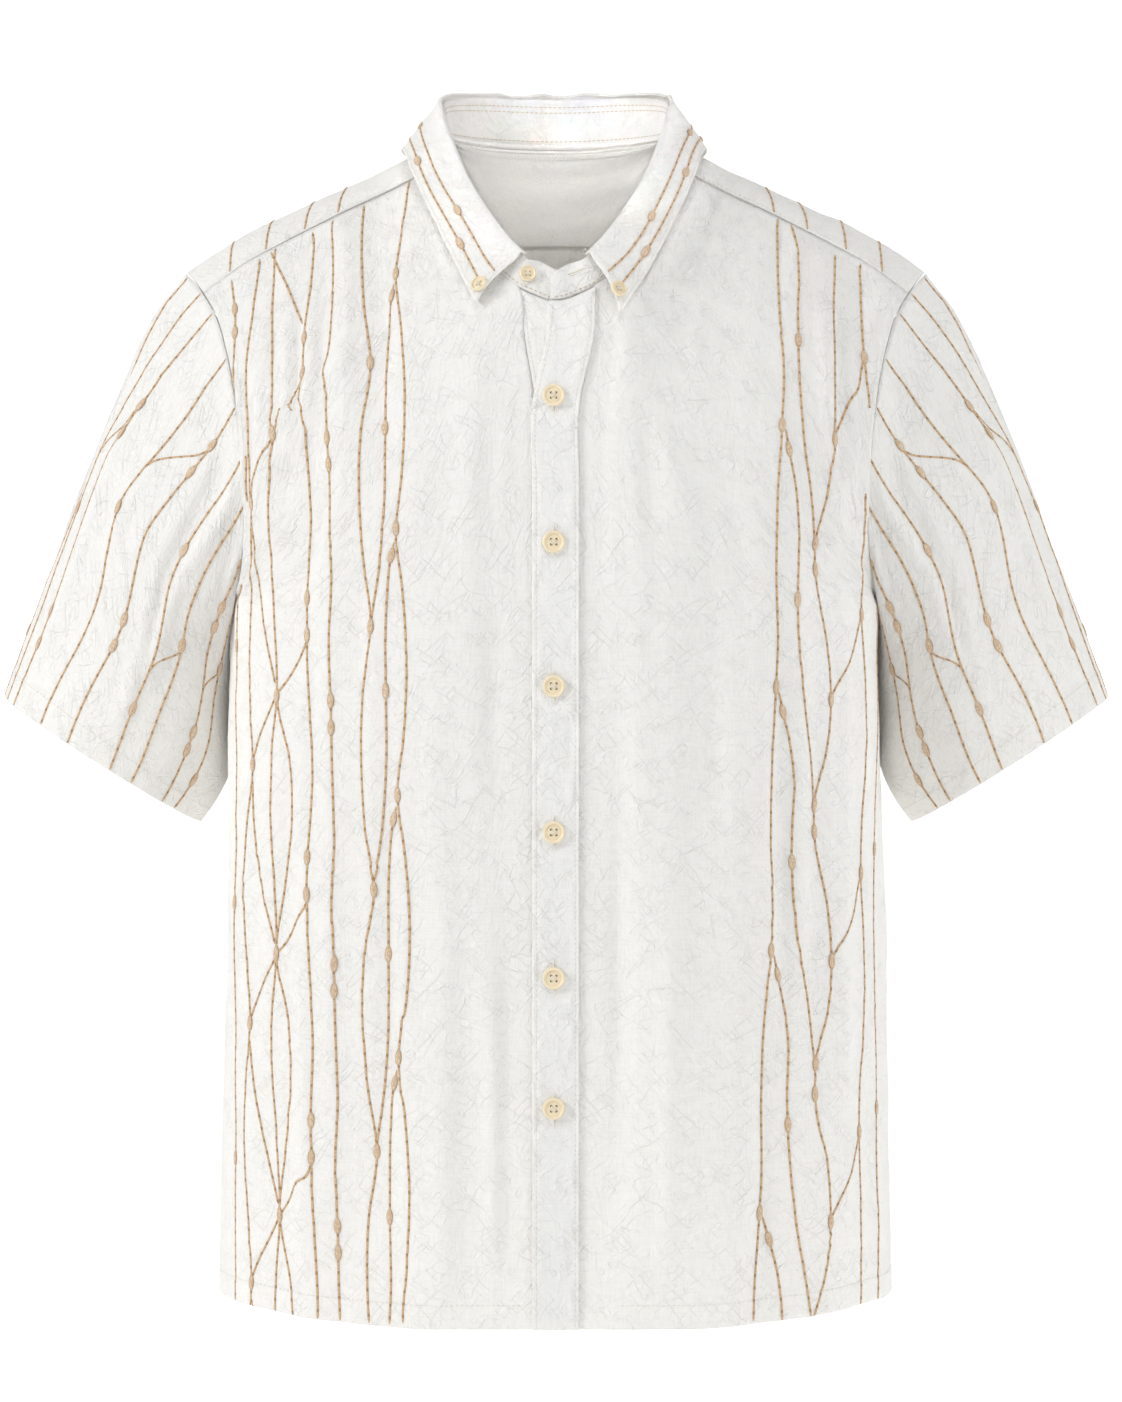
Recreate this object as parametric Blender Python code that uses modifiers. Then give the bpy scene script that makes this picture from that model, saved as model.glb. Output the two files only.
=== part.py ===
"""Short-sleeved button-down shirt, hollow, in the shape it takes when worn.

Metres. +Z is up, the front faces -Y, +X is the wearer's left.
The origin lies midway between the two points where shoulder and neck meet.
"""
import math

import bpy
import numpy as np
from mathutils import Vector

# Cloth and seams
CLOTH = 0.0012
COLLAR_CLOTH = 0.0014
SEAM_GAP = 0.0005
LAYER_GAP = 0.0006

# Body of the shirt
SIDE_POWER = 2.6
UNDERARM_Z = -0.307
RIDGE_DROP = 0.10

# Fastening down the centre front
BAND_HALF = 0.0145
BAND_LAP = 0.0020
BAND_TOP_SHIFT = 0.0105

# Buttons
BUTTON_RADIUS = 0.0069
SMALL_BUTTON_RADIUS = 0.0052
BUTTON_THICK = 0.0024
BUTTON_STEPS = 16
BUTTON_GAP = 0.0004
BUTTON_Z = (-0.179, -0.268, -0.357, -0.448, -0.536, -0.619)

# Grid counts
FRONT_COLUMNS = 16
SIDE_ROWS = 12
ARM_ROWS = 9
NECK_COLUMNS = 5
EDGE_TOP_Z = -0.300
YOKE_ROWS = 5
BACK_COLUMNS = 24
SLEEVE_ROWS = 10

# Shoulder line seen from the front: x, z
SHOULDER_LINE = (
    (0.0000, 0.0360),
    (0.0200, 0.0345),
    (0.0400, 0.0290),
    (0.0550, 0.0205),
    (0.0650, 0.0115),
    (0.0725, 0.0040),
    (0.0850, -0.0055),
    (0.1000, -0.0145),
    (0.1400, -0.0330),
    (0.1800, -0.0515),
    (0.2000, -0.0610),
    (0.2200, -0.0735),
    (0.2400, -0.0875),
    (0.2700, -0.1100),
)
# Half width of the body: z, x
HALF_WIDTH = (
    (-0.760, 0.2176),
    (-0.620, 0.2145),
    (-0.500, 0.2118),
    (-0.400, 0.2098),
    (-0.330, 0.2082),
    (-0.290, 0.2092),
    (-0.250, 0.2150),
    (-0.200, 0.2320),
    (-0.130, 0.2600),
    (-0.050, 0.2800),
    (0.040, 0.2900),
)
# Depth of the chest and the back: z, front, back
BODY_DEPTH = (
    (-0.760, 0.128, 0.130),
    (-0.600, 0.132, 0.132),
    (-0.456, 0.136, 0.134),
    (-0.300, 0.139, 0.142),
    (-0.150, 0.137, 0.146),
    (0.040, 0.134, 0.146),
)
FRONT_ARCH = (0.24, 0.80)
BACK_ARCH = (0.17, 0.70)
# Front armhole from the underarm to the yoke seam: x, z
FRONT_ARMHOLE = (
    (0.2085, -0.3070),
    (0.2058, -0.3005),
    (0.2008, -0.2870),
    (0.1978, -0.2650),
    (0.1966, -0.2350),
    (0.1982, -0.2050),
    (0.2028, -0.1740),
    (0.2095, -0.1430),
    (0.2180, -0.1180),
    (0.2270, -0.1025),
)
# Back armhole from the underarm to the yoke seam: x, z
BACK_ARMHOLE = (
    (0.2085, -0.3070),
    (0.2060, -0.3015),
    (0.2020, -0.2900),
    (0.1995, -0.2700),
    (0.1988, -0.2420),
    (0.2000, -0.2110),
    (0.2035, -0.1830),
    (0.2080, -0.1590),
    (0.2125, -0.1400),
    (0.2175, -0.1240),
)
# Shoulder end of the yoke: q, x
YOKE_END = (
    (-0.505, 0.2270),
    (-0.300, 0.2350),
    (0.000, 0.2400),
    (0.300, 0.2355),
    (0.520, 0.2280),
    (0.724, 0.2175),
)
# Front neckline from the centre to the yoke seam: x, z
FRONT_NECK = (
    (0.0000, -0.1190),
    (0.0125, -0.1145),
    (0.0254, -0.1080),
    (0.0400, -0.0945),
    (0.0530, -0.0770),
    (0.0630, -0.0550),
    (0.0700, -0.0330),
    (0.0722, -0.0180),
)
# Neckline across the yoke from the yoke seam to the centre back: x, q
YOKE_NECK = (
    (0.0722, -0.448),
    (0.0727, -0.200),
    (0.0727, 0.000),
    (0.0715, 0.160),
    (0.0660, 0.300),
    (0.0550, 0.430),
    (0.0400, 0.520),
    (0.0200, 0.570),
    (0.0000, 0.583),
)
# Front yoke seam below the shoulder line: x, drop
FRONT_YOKE_DROP = (
    (0.0722, 0.0201),
    (0.1000, 0.0190),
    (0.1600, 0.0205),
    (0.2270, 0.0250),
)
# Back yoke seam: height at the centre, fall towards the armhole, its x
BACK_YOKE = (-0.056, 0.067, 0.2175)
# Sleeve along its length: v, top x, top z, bottom x, bottom z, middle y, half depth
SLEEVE_LINE = (
    (0.00, 0.2400, -0.0875, 0.2085, -0.3070, 0.004, 0.0870),
    (0.12, 0.2585, -0.1140, 0.2096, -0.3250, 0.007, 0.0800),
    (0.30, 0.2820, -0.1660, 0.2100, -0.3520, 0.012, 0.0740),
    (0.50, 0.3040, -0.2190, 0.2106, -0.3790, 0.015, 0.0690),
    (0.75, 0.3315, -0.2890, 0.2120, -0.4090, 0.015, 0.0640),
    (0.90, 0.3480, -0.3320, 0.2215, -0.4300, 0.013, 0.0615),
    (1.00, 0.3590, -0.3630, 0.2318, -0.4445, 0.012, 0.0600),
)
# Top of the collar stand: share of the way to the centre back, x, y, z
STAND_TOP = (
    (0.00, 0.0175, -0.1140, -0.0885),
    (0.16, 0.0300, -0.1050, -0.0745),
    (0.30, 0.0430, -0.0905, -0.0555),
    (0.42, 0.0560, -0.0690, -0.0320),
    (0.52, 0.0660, -0.0430, -0.0060),
    (0.62, 0.0725, -0.0070, 0.0180),
    (0.74, 0.0700, 0.0320, 0.0320),
    (0.88, 0.0400, 0.0610, 0.0360),
    (1.00, 0.0000, 0.0680, 0.0370),
)
# Front end of the stand that lies under: low x, top x, top z, set back
STAND_END_UNDER = (
    (-0.0120, -0.0095, -0.0925, 0.0014),
    (-0.0010, 0.0000, -0.0975, 0.0024),
    (0.0110, 0.0105, -0.1005, 0.0026),
)
# Front end of the stand that lies over: low x, top x, top z, set back
STAND_END_OVER = (
    (0.0125, 0.0085, -0.0940, 0.0002),
    (0.0040, 0.0020, -0.0975, -0.0002),
    (-0.0037, -0.0032, -0.1020, -0.0004),
)
# Outer edge of the collar leaf, wearer's right: v, x, y, z
LEAF_EDGE_RIGHT = (
    (0.00, 0.0500, -0.1250, -0.1198),
    (0.16, 0.0640, -0.1010, -0.0900),
    (0.30, 0.0795, -0.0760, -0.0570),
    (0.42, 0.0910, -0.0500, -0.0310),
    (0.52, 0.0985, -0.0230, -0.0110),
    (0.62, 0.1010, 0.0100, -0.0080),
    (0.74, 0.0900, 0.0560, -0.0090),
    (0.88, 0.0480, 0.0880, -0.0100),
    (1.00, 0.0000, 0.0960, -0.0110),
)
# Outer edge of the collar leaf, wearer's left: v, x, y, z
LEAF_EDGE_LEFT = (
    (0.00, 0.0401, -0.1300, -0.1260),
    (0.16, 0.0590, -0.1050, -0.0950),
    (0.30, 0.0765, -0.0770, -0.0590),
    (0.42, 0.0875, -0.0510, -0.0340),
    (0.52, 0.0955, -0.0230, -0.0110),
    (0.62, 0.0990, 0.0100, -0.0080),
    (0.74, 0.0890, 0.0560, -0.0090),
    (0.88, 0.0480, 0.0880, -0.0100),
    (1.00, 0.0000, 0.0960, -0.0110),
)
# Folds of the fronts, wearer's right: x0, z0, x1, z1, width, height
FOLDS_RIGHT = (
    (0.180, -0.135, 0.183, -0.260, 0.017, 0.0030),
    (0.140, -0.110, 0.138, -0.220, 0.018, 0.0020),
    (0.048, -0.130, 0.055, -0.330, 0.018, 0.0018),
    (0.160, -0.450, 0.155, -0.770, 0.020, 0.0040),
    (0.085, -0.520, 0.080, -0.770, 0.022, 0.0030),
    (0.190, -0.560, 0.192, -0.770, 0.014, 0.0030),
)
# Folds of the fronts, wearer's left: x0, z0, x1, z1, width, height
FOLDS_LEFT = (
    (0.183, -0.130, 0.181, -0.250, 0.017, 0.0030),
    (0.140, -0.105, 0.138, -0.200, 0.018, 0.0018),
    (0.052, -0.140, 0.092, -0.300, 0.020, 0.0022),
    (0.120, -0.330, 0.118, -0.600, 0.020, 0.0016),
    (0.165, -0.480, 0.170, -0.770, 0.020, 0.0038),
    (0.095, -0.540, 0.098, -0.770, 0.022, 0.0026),
)
# Folds of the back, across its whole width: x0, z0, x1, z1, width, height
FOLDS_BACK = (
    (-0.150, -0.190, -0.125, -0.770, 0.020, 0.0045),
    (0.148, -0.190, 0.122, -0.770, 0.020, 0.0045),
    (-0.055, -0.330, -0.050, -0.770, 0.024, 0.0034),
    (0.040, -0.360, 0.052, -0.770, 0.024, 0.0034),
    (-0.185, -0.420, -0.190, -0.770, 0.014, 0.0030),
    (0.186, -0.440, 0.190, -0.770, 0.014, 0.0030),
)
# Folds of a sleeve: turn, width in turns, height
FOLDS_SLEEVE = (
    (0.16, 0.030, 0.0032),
    (0.27, 0.028, 0.0026),
    (0.38, 0.028, 0.0030),
    (0.63, 0.030, 0.0030),
    (0.76, 0.030, 0.0034),
    (0.88, 0.026, 0.0026),
)


def clear_scene():
    """Remove the start-up objects."""
    for item in list(bpy.data.objects):
        bpy.data.objects.remove(item, do_unlink=True)


def new_collection(name):
    """Return a collection linked to the scene."""
    group = bpy.data.collections.new(name)
    bpy.context.scene.collection.children.link(group)
    return group


def principled(name, colour, roughness):
    """Return a plain Principled material."""
    material = bpy.data.materials.new(name)
    material.use_nodes = True
    shader = material.node_tree.nodes["Principled BSDF"]
    shader.inputs["Base Color"].default_value = (*colour, 1.0)
    shader.inputs["Roughness"].default_value = roughness
    return material


def through(table, at, column=1):
    """Read a table with a smooth curve through its rows."""
    rows = np.asarray(table, dtype=float)
    keys = rows[:, 0]
    values = rows[:, column]
    slopes = np.gradient(values, keys)
    at = np.clip(np.asarray(at, dtype=float), keys[0], keys[-1])
    low = np.clip(np.searchsorted(keys, at, side="right") - 1, 0, len(keys) - 2)
    step = keys[low + 1] - keys[low]
    t = (at - keys[low]) / step
    start = (1 + 2 * t) * (1 - t) ** 2 * values[low]
    start = start + t * (1 - t) ** 2 * step * slopes[low]
    end = t * t * (3 - 2 * t) * values[low + 1]
    return start + end + t * t * (t - 1) * step * slopes[low + 1]


def ease(low, high, value):
    """Rise smoothly from nought at low to one at high."""
    t = np.clip((np.asarray(value, dtype=float) - low) / (high - low), 0.0, 1.0)
    return t * t * (3 - 2 * t)


def arch(drop, shape):
    """Share of the full depth at a given drop below the shoulder line."""
    reach, power = shape
    t = np.clip(drop / reach, 0.0, 1.0)
    return (1 - (1 - t) ** 2) ** power


def body_y(x, z, face):
    """Depth of the body surface; face is -1 at the front and +1 at the back."""
    ratio = np.clip(np.abs(x) / through(HALF_WIDTH, z), 0.0, 1.0)
    round_off = (1 - ratio ** SIDE_POWER) ** (1 / SIDE_POWER)
    drop = through(SHOULDER_LINE, np.abs(x)) - z
    if face < 0:
        return -through(BODY_DEPTH, z, 1) * round_off * arch(drop, FRONT_ARCH)
    return through(BODY_DEPTH, z, 2) * round_off * arch(drop, BACK_ARCH)


def turn_of(x, z):
    """Share of the quarter turn from the centre to the side at this x."""
    ratio = np.clip(np.abs(x) / through(HALF_WIDTH, z), 0.0, 1.0)
    return np.sign(x) * np.arcsin(ratio ** (SIDE_POWER / 2)) * 2 / math.pi


def body_point(turn, z, face):
    """Point of the body from its share of the quarter turn and its height."""
    angle = np.clip(np.abs(turn), 0.0, 1.0) * math.pi / 2
    x = np.sign(turn) * through(HALF_WIDTH, z) * np.sin(angle) ** (2 / SIDE_POWER)
    return np.stack([x, body_y(x, z, face), z + 0 * x], axis=-1)


def yoke_point(x, q):
    """Point of the yoke; q is negative in front of the shoulder line."""
    z = through(SHOULDER_LINE, np.abs(x)) - RIDGE_DROP * q * q
    y = np.where(q < 0, body_y(x, z, -1), body_y(x, z, 1))
    return np.stack([x, y, z], axis=-1)


def front_seam_z(x):
    """Height of the front yoke seam."""
    x = np.abs(x)
    return through(SHOULDER_LINE, x) - through(FRONT_YOKE_DROP, x)


def back_seam_z(x):
    """Height of the back yoke seam, falling gently to the armholes."""
    centre, fall, reach = BACK_YOKE
    return centre - fall * (np.abs(x) / reach) ** 2


def ridge_q(x, z):
    """Yoke coordinate of a place behind the shoulder line."""
    drop = through(SHOULDER_LINE, np.abs(x)) - z
    return np.sqrt(np.maximum(drop, 0.0) / RIDGE_DROP)


def armhole(table, seam):
    """Armhole as x and z, with its last point set on the yoke seam."""
    points = np.asarray(table, dtype=float).copy()
    points[-1, 1] = float(seam(points[-1, 0]))
    return points


def hem_z(turn):
    """Height of the body hem, a little higher towards the side seams."""
    return -0.7545 + 0.0090 * ease(0.15, 0.75, np.abs(turn))


def patch(low, high, left, right, pivot=0):
    """Fill a patch between four edge curves given in two coordinates.

    The bow of the low edge is spent by the pivot row and the bow of the high
    edge grows from there.
    """
    last = len(left) - 1
    s = np.linspace(0, 1, len(low))[None, :, None]
    row = np.arange(last + 1)[:, None, None]
    keep_low = np.clip(1 - row / (pivot if pivot else last), 0.0, 1.0)
    keep_high = np.clip((row - pivot) / (last - pivot), 0.0, 1.0)
    if pivot:
        keep_high = keep_high ** 1.5
    across = (1 - s) * left[:, None, :] + s * right[:, None, :]
    low_bow = low[None] - (1 - s) * low[0] - s * low[-1]
    high_bow = high[None] - (1 - s) * high[0] - s * high[-1]
    return across + keep_low * low_bow + keep_high * high_bow


def normals(grid, closed=False):
    """Unit normals of a grid of points."""
    down = np.gradient(grid, axis=0)
    if closed:
        side = np.roll(grid, -1, axis=1) - np.roll(grid, 1, axis=1)
    else:
        side = np.gradient(grid, axis=1)
    out = np.cross(side, down)
    return out / np.maximum(np.linalg.norm(out, axis=-1, keepdims=True), 1e-12)


def outward(grid, closed=False):
    """Normals turned away from the middle of the grid's rows."""
    out = normals(grid, closed)
    centre = np.array([0.0, 0.0, 0.0])
    if closed:
        centre = grid.mean(axis=1, keepdims=True)
    reach = (grid - centre) * np.array([1.0, 1.0, 0.25])
    return out if np.sum(out * reach) > 0 else -out


def inset(grid, low=0.0, high=0.0, left=0.0, right=0.0):
    """Draw the four edges of a grid back by the given distances."""
    grid = grid.copy()

    def shift(edge, inner, distance):
        away = inner - edge
        length = np.linalg.norm(away, axis=-1, keepdims=True)
        return edge + away / np.maximum(length, 1e-9) * distance

    grid[0] = shift(grid[0], grid[1], low)
    grid[-1] = shift(grid[-1], grid[-2], high)
    grid[:, 0] = shift(grid[:, 0], grid[:, 1], left)
    grid[:, -1] = shift(grid[:, -1], grid[:, -2], right)
    return grid


def segment_fold(x, z, row):
    """Height of one soft ridge that runs along a line and fades at its ends."""
    x0, z0, x1, z1, width, height = row
    length = math.hypot(x1 - x0, z1 - z0)
    along = ((x - x0) * (x1 - x0) + (z - z0) * (z1 - z0)) / length ** 2
    across = ((x - x0) * (z1 - z0) - (z - z0) * (x1 - x0)) / length
    fade = ease(-0.15, 0.30, along) * ease(1.15, 0.85, along)
    return height * fade * np.exp(-(across / width) ** 2)


def fold_heights(grid, folds, mirror=1.0):
    """Sum of the folds at each point of a grid."""
    total = np.zeros(grid.shape[:2])
    for row in folds:
        total = total + segment_fold(grid[..., 0] * mirror, grid[..., 2], row)
    return total


def edge_window(shape, left, right, high):
    """Fade that brings folds to nought at the sewn edges."""
    rows, columns = shape
    s = np.linspace(0, 1, columns)[None, :]
    t = np.linspace(0, 1, rows)[:, None]
    return ease(0, left, s) * ease(0, right, 1 - s) * ease(0, high, 1 - t)


def sheet(name, grid, thickness, material, group, closed=False):
    """Give a grid of points the thickness of cloth, on its inner side."""
    rows, columns = grid.shape[:2]
    out = outward(grid, closed)
    side = np.roll(grid, -1, axis=1) - grid
    up = np.roll(grid, -1, axis=0) - grid
    facing = np.sum(np.cross(side[:-1, :-1], up[:-1, :-1]) * out[:-1, :-1])
    last = columns if closed else columns - 1
    faces = []
    for j in range(rows - 1):
        for i in range(last):
            k = (i + 1) % columns
            ring = (j * columns + i, j * columns + k)
            ring = ring + ((j + 1) * columns + k, (j + 1) * columns + i)
            faces.append(ring if facing > 0 else ring[::-1])
    mesh = bpy.data.meshes.new(name)
    mesh.from_pydata(grid.reshape(-1, 3).tolist(), [], faces)
    mesh.update()
    mesh.materials.append(material)
    item = bpy.data.objects.new(name, mesh)
    group.objects.link(item)
    wall = item.modifiers.new("wall", "SOLIDIFY")
    wall.thickness = thickness
    wall.offset = -1.0
    wall.use_even_offset = False
    return item


def band_shift(z):
    """Sideways shift of the upper placket where the neck stands open."""
    return BAND_TOP_SHIFT * ease(-0.178, -0.128, z)


def under_shift(z):
    """Sideways shift of the under placket where the neck stands open."""
    return 0.0100 * ease(-0.192, -0.112, z)


def front_edge_x(z, side):
    """Inner edge of a front; side is -1 for the wearer's right."""
    if side < 0:
        return -(BAND_HALF - BAND_LAP) - under_shift(z)
    return BAND_HALF - BAND_LAP + band_shift(z)


def spread(table, count):
    """Even samples along a curve through the rows of a table of two columns."""
    rows = np.asarray(table, dtype=float)
    steps = np.linalg.norm(np.diff(rows, axis=0), axis=1)
    keys = np.concatenate([[0.0], np.cumsum(steps)])
    keyed = np.column_stack([keys, rows])
    at = np.linspace(0, keys[-1], count)
    return np.stack([through(keyed, at, 1), through(keyed, at, 2)], axis=-1)


def front_rows(top_z):
    """Heights of the rows down the centre front."""
    low = np.linspace(float(hem_z(0.0)), EDGE_TOP_Z, SIDE_ROWS + 1)[:-1]
    share = np.linspace(0, 1, ARM_ROWS - NECK_COLUMNS + 1)
    high = EDGE_TOP_Z + (top_z - EDGE_TOP_Z) * (1.45 * share - 0.45 * share ** 2)
    return np.concatenate([low, high])


def front_neck_curve(side):
    """Front neckline from the front edge to the yoke seam, as x and z."""
    rows = np.asarray(FRONT_NECK)
    start = abs(float(front_edge_x(-0.112, side)))
    start_z = float(through(rows, start))
    kept = rows[rows[:, 0] > start + 0.004]
    points = spread(np.vstack([[start, start_z], kept]), NECK_COLUMNS + 1)
    return points * np.array([side, 1.0])


def yoke_seam_x(side):
    """Even steps along the front yoke seam, from the neck to the shoulder."""
    return side * np.linspace(0.0722, 0.2270, FRONT_COLUMNS + 1)


def front_panel(side):
    """Surface of one front, hem to yoke seam, front edge to side seam."""
    top_x = yoke_seam_x(side)
    top_z = front_seam_z(top_x)
    neck = front_neck_curve(side)
    edge_z = front_rows(neck[0, 1])[:-1]
    edge_x = front_edge_x(edge_z, side)
    edge = np.vstack([np.column_stack([edge_x, edge_z]), neck])
    side_z = np.linspace(float(hem_z(1.0)), UNDERARM_Z, SIDE_ROWS + 1)[:-1]
    side_x = side * through(HALF_WIDTH, side_z)
    arm = armhole(FRONT_ARMHOLE, front_seam_z) * np.array([side, 1.0])
    outer = np.vstack([np.column_stack([side_x, side_z]), arm])
    left = np.column_stack([turn_of(edge[:, 0], edge[:, 1]), edge[:, 1]])
    right = np.column_stack([turn_of(outer[:, 0], outer[:, 1]), outer[:, 1]])
    high = np.column_stack([turn_of(top_x, top_z), top_z])
    low_turn = np.linspace(left[0, 0], side * 1.0, FRONT_COLUMNS + 1)
    low = np.column_stack([low_turn, hem_z(low_turn)])
    low[0] = left[0]
    low[-1] = right[0]
    place = patch(low, high, left, right, SIDE_ROWS)
    return body_point(place[..., 0], place[..., 1], -1)


def back_panel():
    """Surface of the back, hem to yoke seam, side seam to side seam."""
    side_z = np.linspace(float(hem_z(1.0)), UNDERARM_Z, SIDE_ROWS + 1)[:-1]
    side_x = through(HALF_WIDTH, side_z)
    arm = armhole(BACK_ARMHOLE, back_seam_z)
    outer = np.vstack([np.column_stack([side_x, side_z]), arm])
    right = np.column_stack([turn_of(outer[:, 0], outer[:, 1]), outer[:, 1]])
    left = right * np.array([-1.0, 1.0])
    top_x = np.linspace(-0.2175, 0.2175, BACK_COLUMNS + 1)
    top_z = back_seam_z(top_x)
    high = np.column_stack([turn_of(top_x, top_z), top_z])
    low_turn = np.linspace(-1, 1, BACK_COLUMNS + 1)
    low = np.column_stack([low_turn, hem_z(low_turn)])
    high[0] = left[-1]
    high[-1] = right[-1]
    place = patch(low, high, left, right, SIDE_ROWS)
    return body_point(place[..., 0], place[..., 1], 1)


def yoke_neck_curve():
    """Neckline across the yoke, wearer's right to left, as x and q."""
    half = spread(YOKE_NECK, NECK_COLUMNS + 2)
    right = half * np.array([-1.0, 1.0])
    return np.vstack([right, half[::-1][1:]])


def yoke_panel():
    """Surface of the yoke, from the front seams and neck to the back seam."""
    seam_x = yoke_seam_x(1)[::-1]
    drop = through(FRONT_YOKE_DROP, seam_x)
    seam = np.column_stack([-seam_x, -np.sqrt(drop / RIDGE_DROP)])
    neck = yoke_neck_curve()
    mirrored = seam[::-1] * np.array([-1.0, 1.0])
    low = np.vstack([seam, neck[1:-1], mirrored])
    across = np.linspace(-0.2175, -0.105, len(seam))
    middle = np.linspace(-0.105, 0.105, len(neck))[1:-1]
    back_x = np.concatenate([across, middle, -across[::-1]])
    high = np.column_stack([back_x, ridge_q(back_x, back_seam_z(back_x))])
    end = np.asarray(YOKE_END, dtype=float)
    end[0, 0] = low[-1, 1]
    end[-1, 0] = high[-1, 1]
    right = end[:, ::-1]
    right = np.vstack([low[-1], spread(right, YOKE_ROWS + 1)[1:-1], high[-1]])
    left = right * np.array([-1.0, 1.0])
    place = patch(low, high, left, right)
    return yoke_point(place[..., 0], place[..., 1])


def armhole_loop(side, yoke):
    """Points round one armhole, from the underarm forward and over."""
    front = armhole(FRONT_ARMHOLE, front_seam_z) * np.array([side, 1.0])
    back = armhole(BACK_ARMHOLE, back_seam_z) * np.array([side, 1.0])
    front = np.stack([front[:, 0], body_y(front[:, 0], front[:, 1], -1), front[:, 1]], axis=-1)
    back = np.stack([back[:, 0], body_y(back[:, 0], back[:, 1], 1), back[:, 1]], axis=-1)
    shoulder = yoke[:, 0] if side < 0 else yoke[:, -1]
    return np.vstack([front, shoulder[1:-1], back[::-1][:-1]])


def sleeve_panel(side, yoke, rows=SLEEVE_ROWS):
    """Surface of one sleeve, armhole to hem, round from the underarm."""
    loop = armhole_loop(side, yoke) * np.array([side, 1.0, 1.0])
    v = np.linspace(0, 1, rows + 1)
    top = np.stack([through(SLEEVE_LINE, v, 1), through(SLEEVE_LINE, v, 2)], axis=-1)
    low = np.stack([through(SLEEVE_LINE, v, 3), through(SLEEVE_LINE, v, 4)], axis=-1)
    middle_y = through(SLEEVE_LINE, v, 5)
    depth = through(SLEEVE_LINE, v, 6)
    centre = (top + low) / 2
    half = (top - low) / 2
    size = np.linalg.norm(half, axis=1)
    toward = half / size[:, None]
    rest = np.stack([loop[:, 0], loop[:, 2]], axis=-1) - centre[0]
    along = rest @ toward[0] / size[0]
    aside = (loop[:, 1] - middle_y[0]) / depth[0]
    angle = np.arctan2(aside, along)
    rounded = np.stack([np.cos(angle), np.sin(angle)], axis=-1)
    across = centre[:, None, :] + half[:, None, :] * rounded[None, :, :1]
    y = middle_y[:, None] + depth[:, None] * rounded[None, :, 1]
    grid = np.stack([across[..., 0], y, across[..., 1]], axis=-1)
    lift = (1 - ease(0, 0.45, v))[:, None, None]
    grid = grid + (loop - grid[0])[None] * lift
    grid[1:] = clear_of_body(grid[1:], 0.0012)
    return grid * np.array([side, 1.0, 1.0])


def clear_of_body(grid, clearance):
    """Move the points of a sleeve off the side of the body where too close."""
    grid = grid.copy()
    width = through(HALF_WIDTH, grid[..., 2])
    depth = through(BODY_DEPTH, grid[..., 2], 2)
    depth = np.where(grid[..., 1] < 0, through(BODY_DEPTH, grid[..., 2], 1), depth)
    aside = np.clip(np.abs(grid[..., 1]) / depth, 0.0, 1.0)
    least = width * (1 - aside ** SIDE_POWER) ** (1 / SIDE_POWER) + clearance
    beside = grid[..., 2] < -0.280
    grid[..., 0] = np.where(beside, np.maximum(grid[..., 0], least), grid[..., 0])
    return grid


def lift_off(points, grid, clearance):
    """Move points out until they clear a sheet by the given distance."""
    out = outward(grid).reshape(-1, 3)
    flat = grid.reshape(-1, 3)
    moved = points.reshape(-1, 3).copy()
    for index, point in enumerate(moved):
        away = np.sum((flat - point) ** 2, axis=1)
        near = np.argmin(away)
        gap = np.dot(point - flat[near], out[near])
        if gap < clearance and away[near] < 0.0006:
            moved[index] = point + out[near] * (clearance - gap)
    return moved.reshape(points.shape)


def sleeve_folds(grid, mirror):
    """Long soft folds of a sleeve, none at the armhole seam."""
    rows, columns = grid.shape[:2]
    turn = np.arange(columns)[None, :] / columns
    v = np.linspace(0, 1, rows)[:, None]
    total = np.zeros((rows, columns))
    for place, width, height in FOLDS_SLEEVE:
        away = np.abs(turn - (place + 0.02 * mirror * v) + 0.5) % 1.0 - 0.5
        total = total + height * np.exp(-(away / width) ** 2)
    return total * ease(0.0, 0.25, v) * (1 - 0.45 * ease(0.6, 1.0, v))


def placket_grid(side_left, side_right, z_rows, lift):
    """Strip down the centre front between two edges, raised off the fronts."""
    share = np.linspace(0, 1, 4)[None, :]
    x = side_left[:, None] * (1 - share) + side_right[:, None] * share
    z = np.repeat(z_rows[:, None], 4, axis=1)
    y = body_y(x, z, -1) - lift
    return np.stack([x, y, z], axis=-1)


def under_placket():
    """Button band of the wearer's right front, level with the fronts."""
    z = front_rows(front_neck_curve(-1)[0, 1])
    left = front_edge_x(z, -1) + SEAM_GAP
    right = left + 2 * (BAND_HALF - BAND_LAP) - 2 * SEAM_GAP
    return end_at_neck(placket_grid(left, right, z, 0.0), 0.0)


def upper_placket():
    """Buttonhole band of the wearer's left front, laid over both edges."""
    z = front_rows(front_neck_curve(1)[0, 1])
    shift = band_shift(z)
    lift = COLLAR_CLOTH + LAYER_GAP
    return end_at_neck(placket_grid(shift - BAND_HALF, shift + BAND_HALF, z, lift), lift)


def end_at_neck(grid, lift):
    """Stop the top row of a band just under the collar stand."""
    x = grid[-1, :, 0]
    z = through(FRONT_NECK, np.abs(x)) - SEAM_GAP
    grid[-1] = np.stack([x, body_y(x, z, -1) - lift, z], axis=-1)
    return grid


def neck_loop():
    """Whole neckline on the body, wearer's right front edge to left one."""
    right = front_neck_curve(-1)
    left = front_neck_curve(1)[::-1]
    right3 = np.stack([right[:, 0], body_y(right[:, 0], right[:, 1], -1), right[:, 1]], axis=-1)
    left3 = np.stack([left[:, 0], body_y(left[:, 0], left[:, 1], -1), left[:, 1]], axis=-1)
    neck = yoke_neck_curve()
    yoke3 = yoke_point(neck[:, 0], neck[:, 1])
    return np.vstack([right3, yoke3[1:-1], left3])


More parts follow.
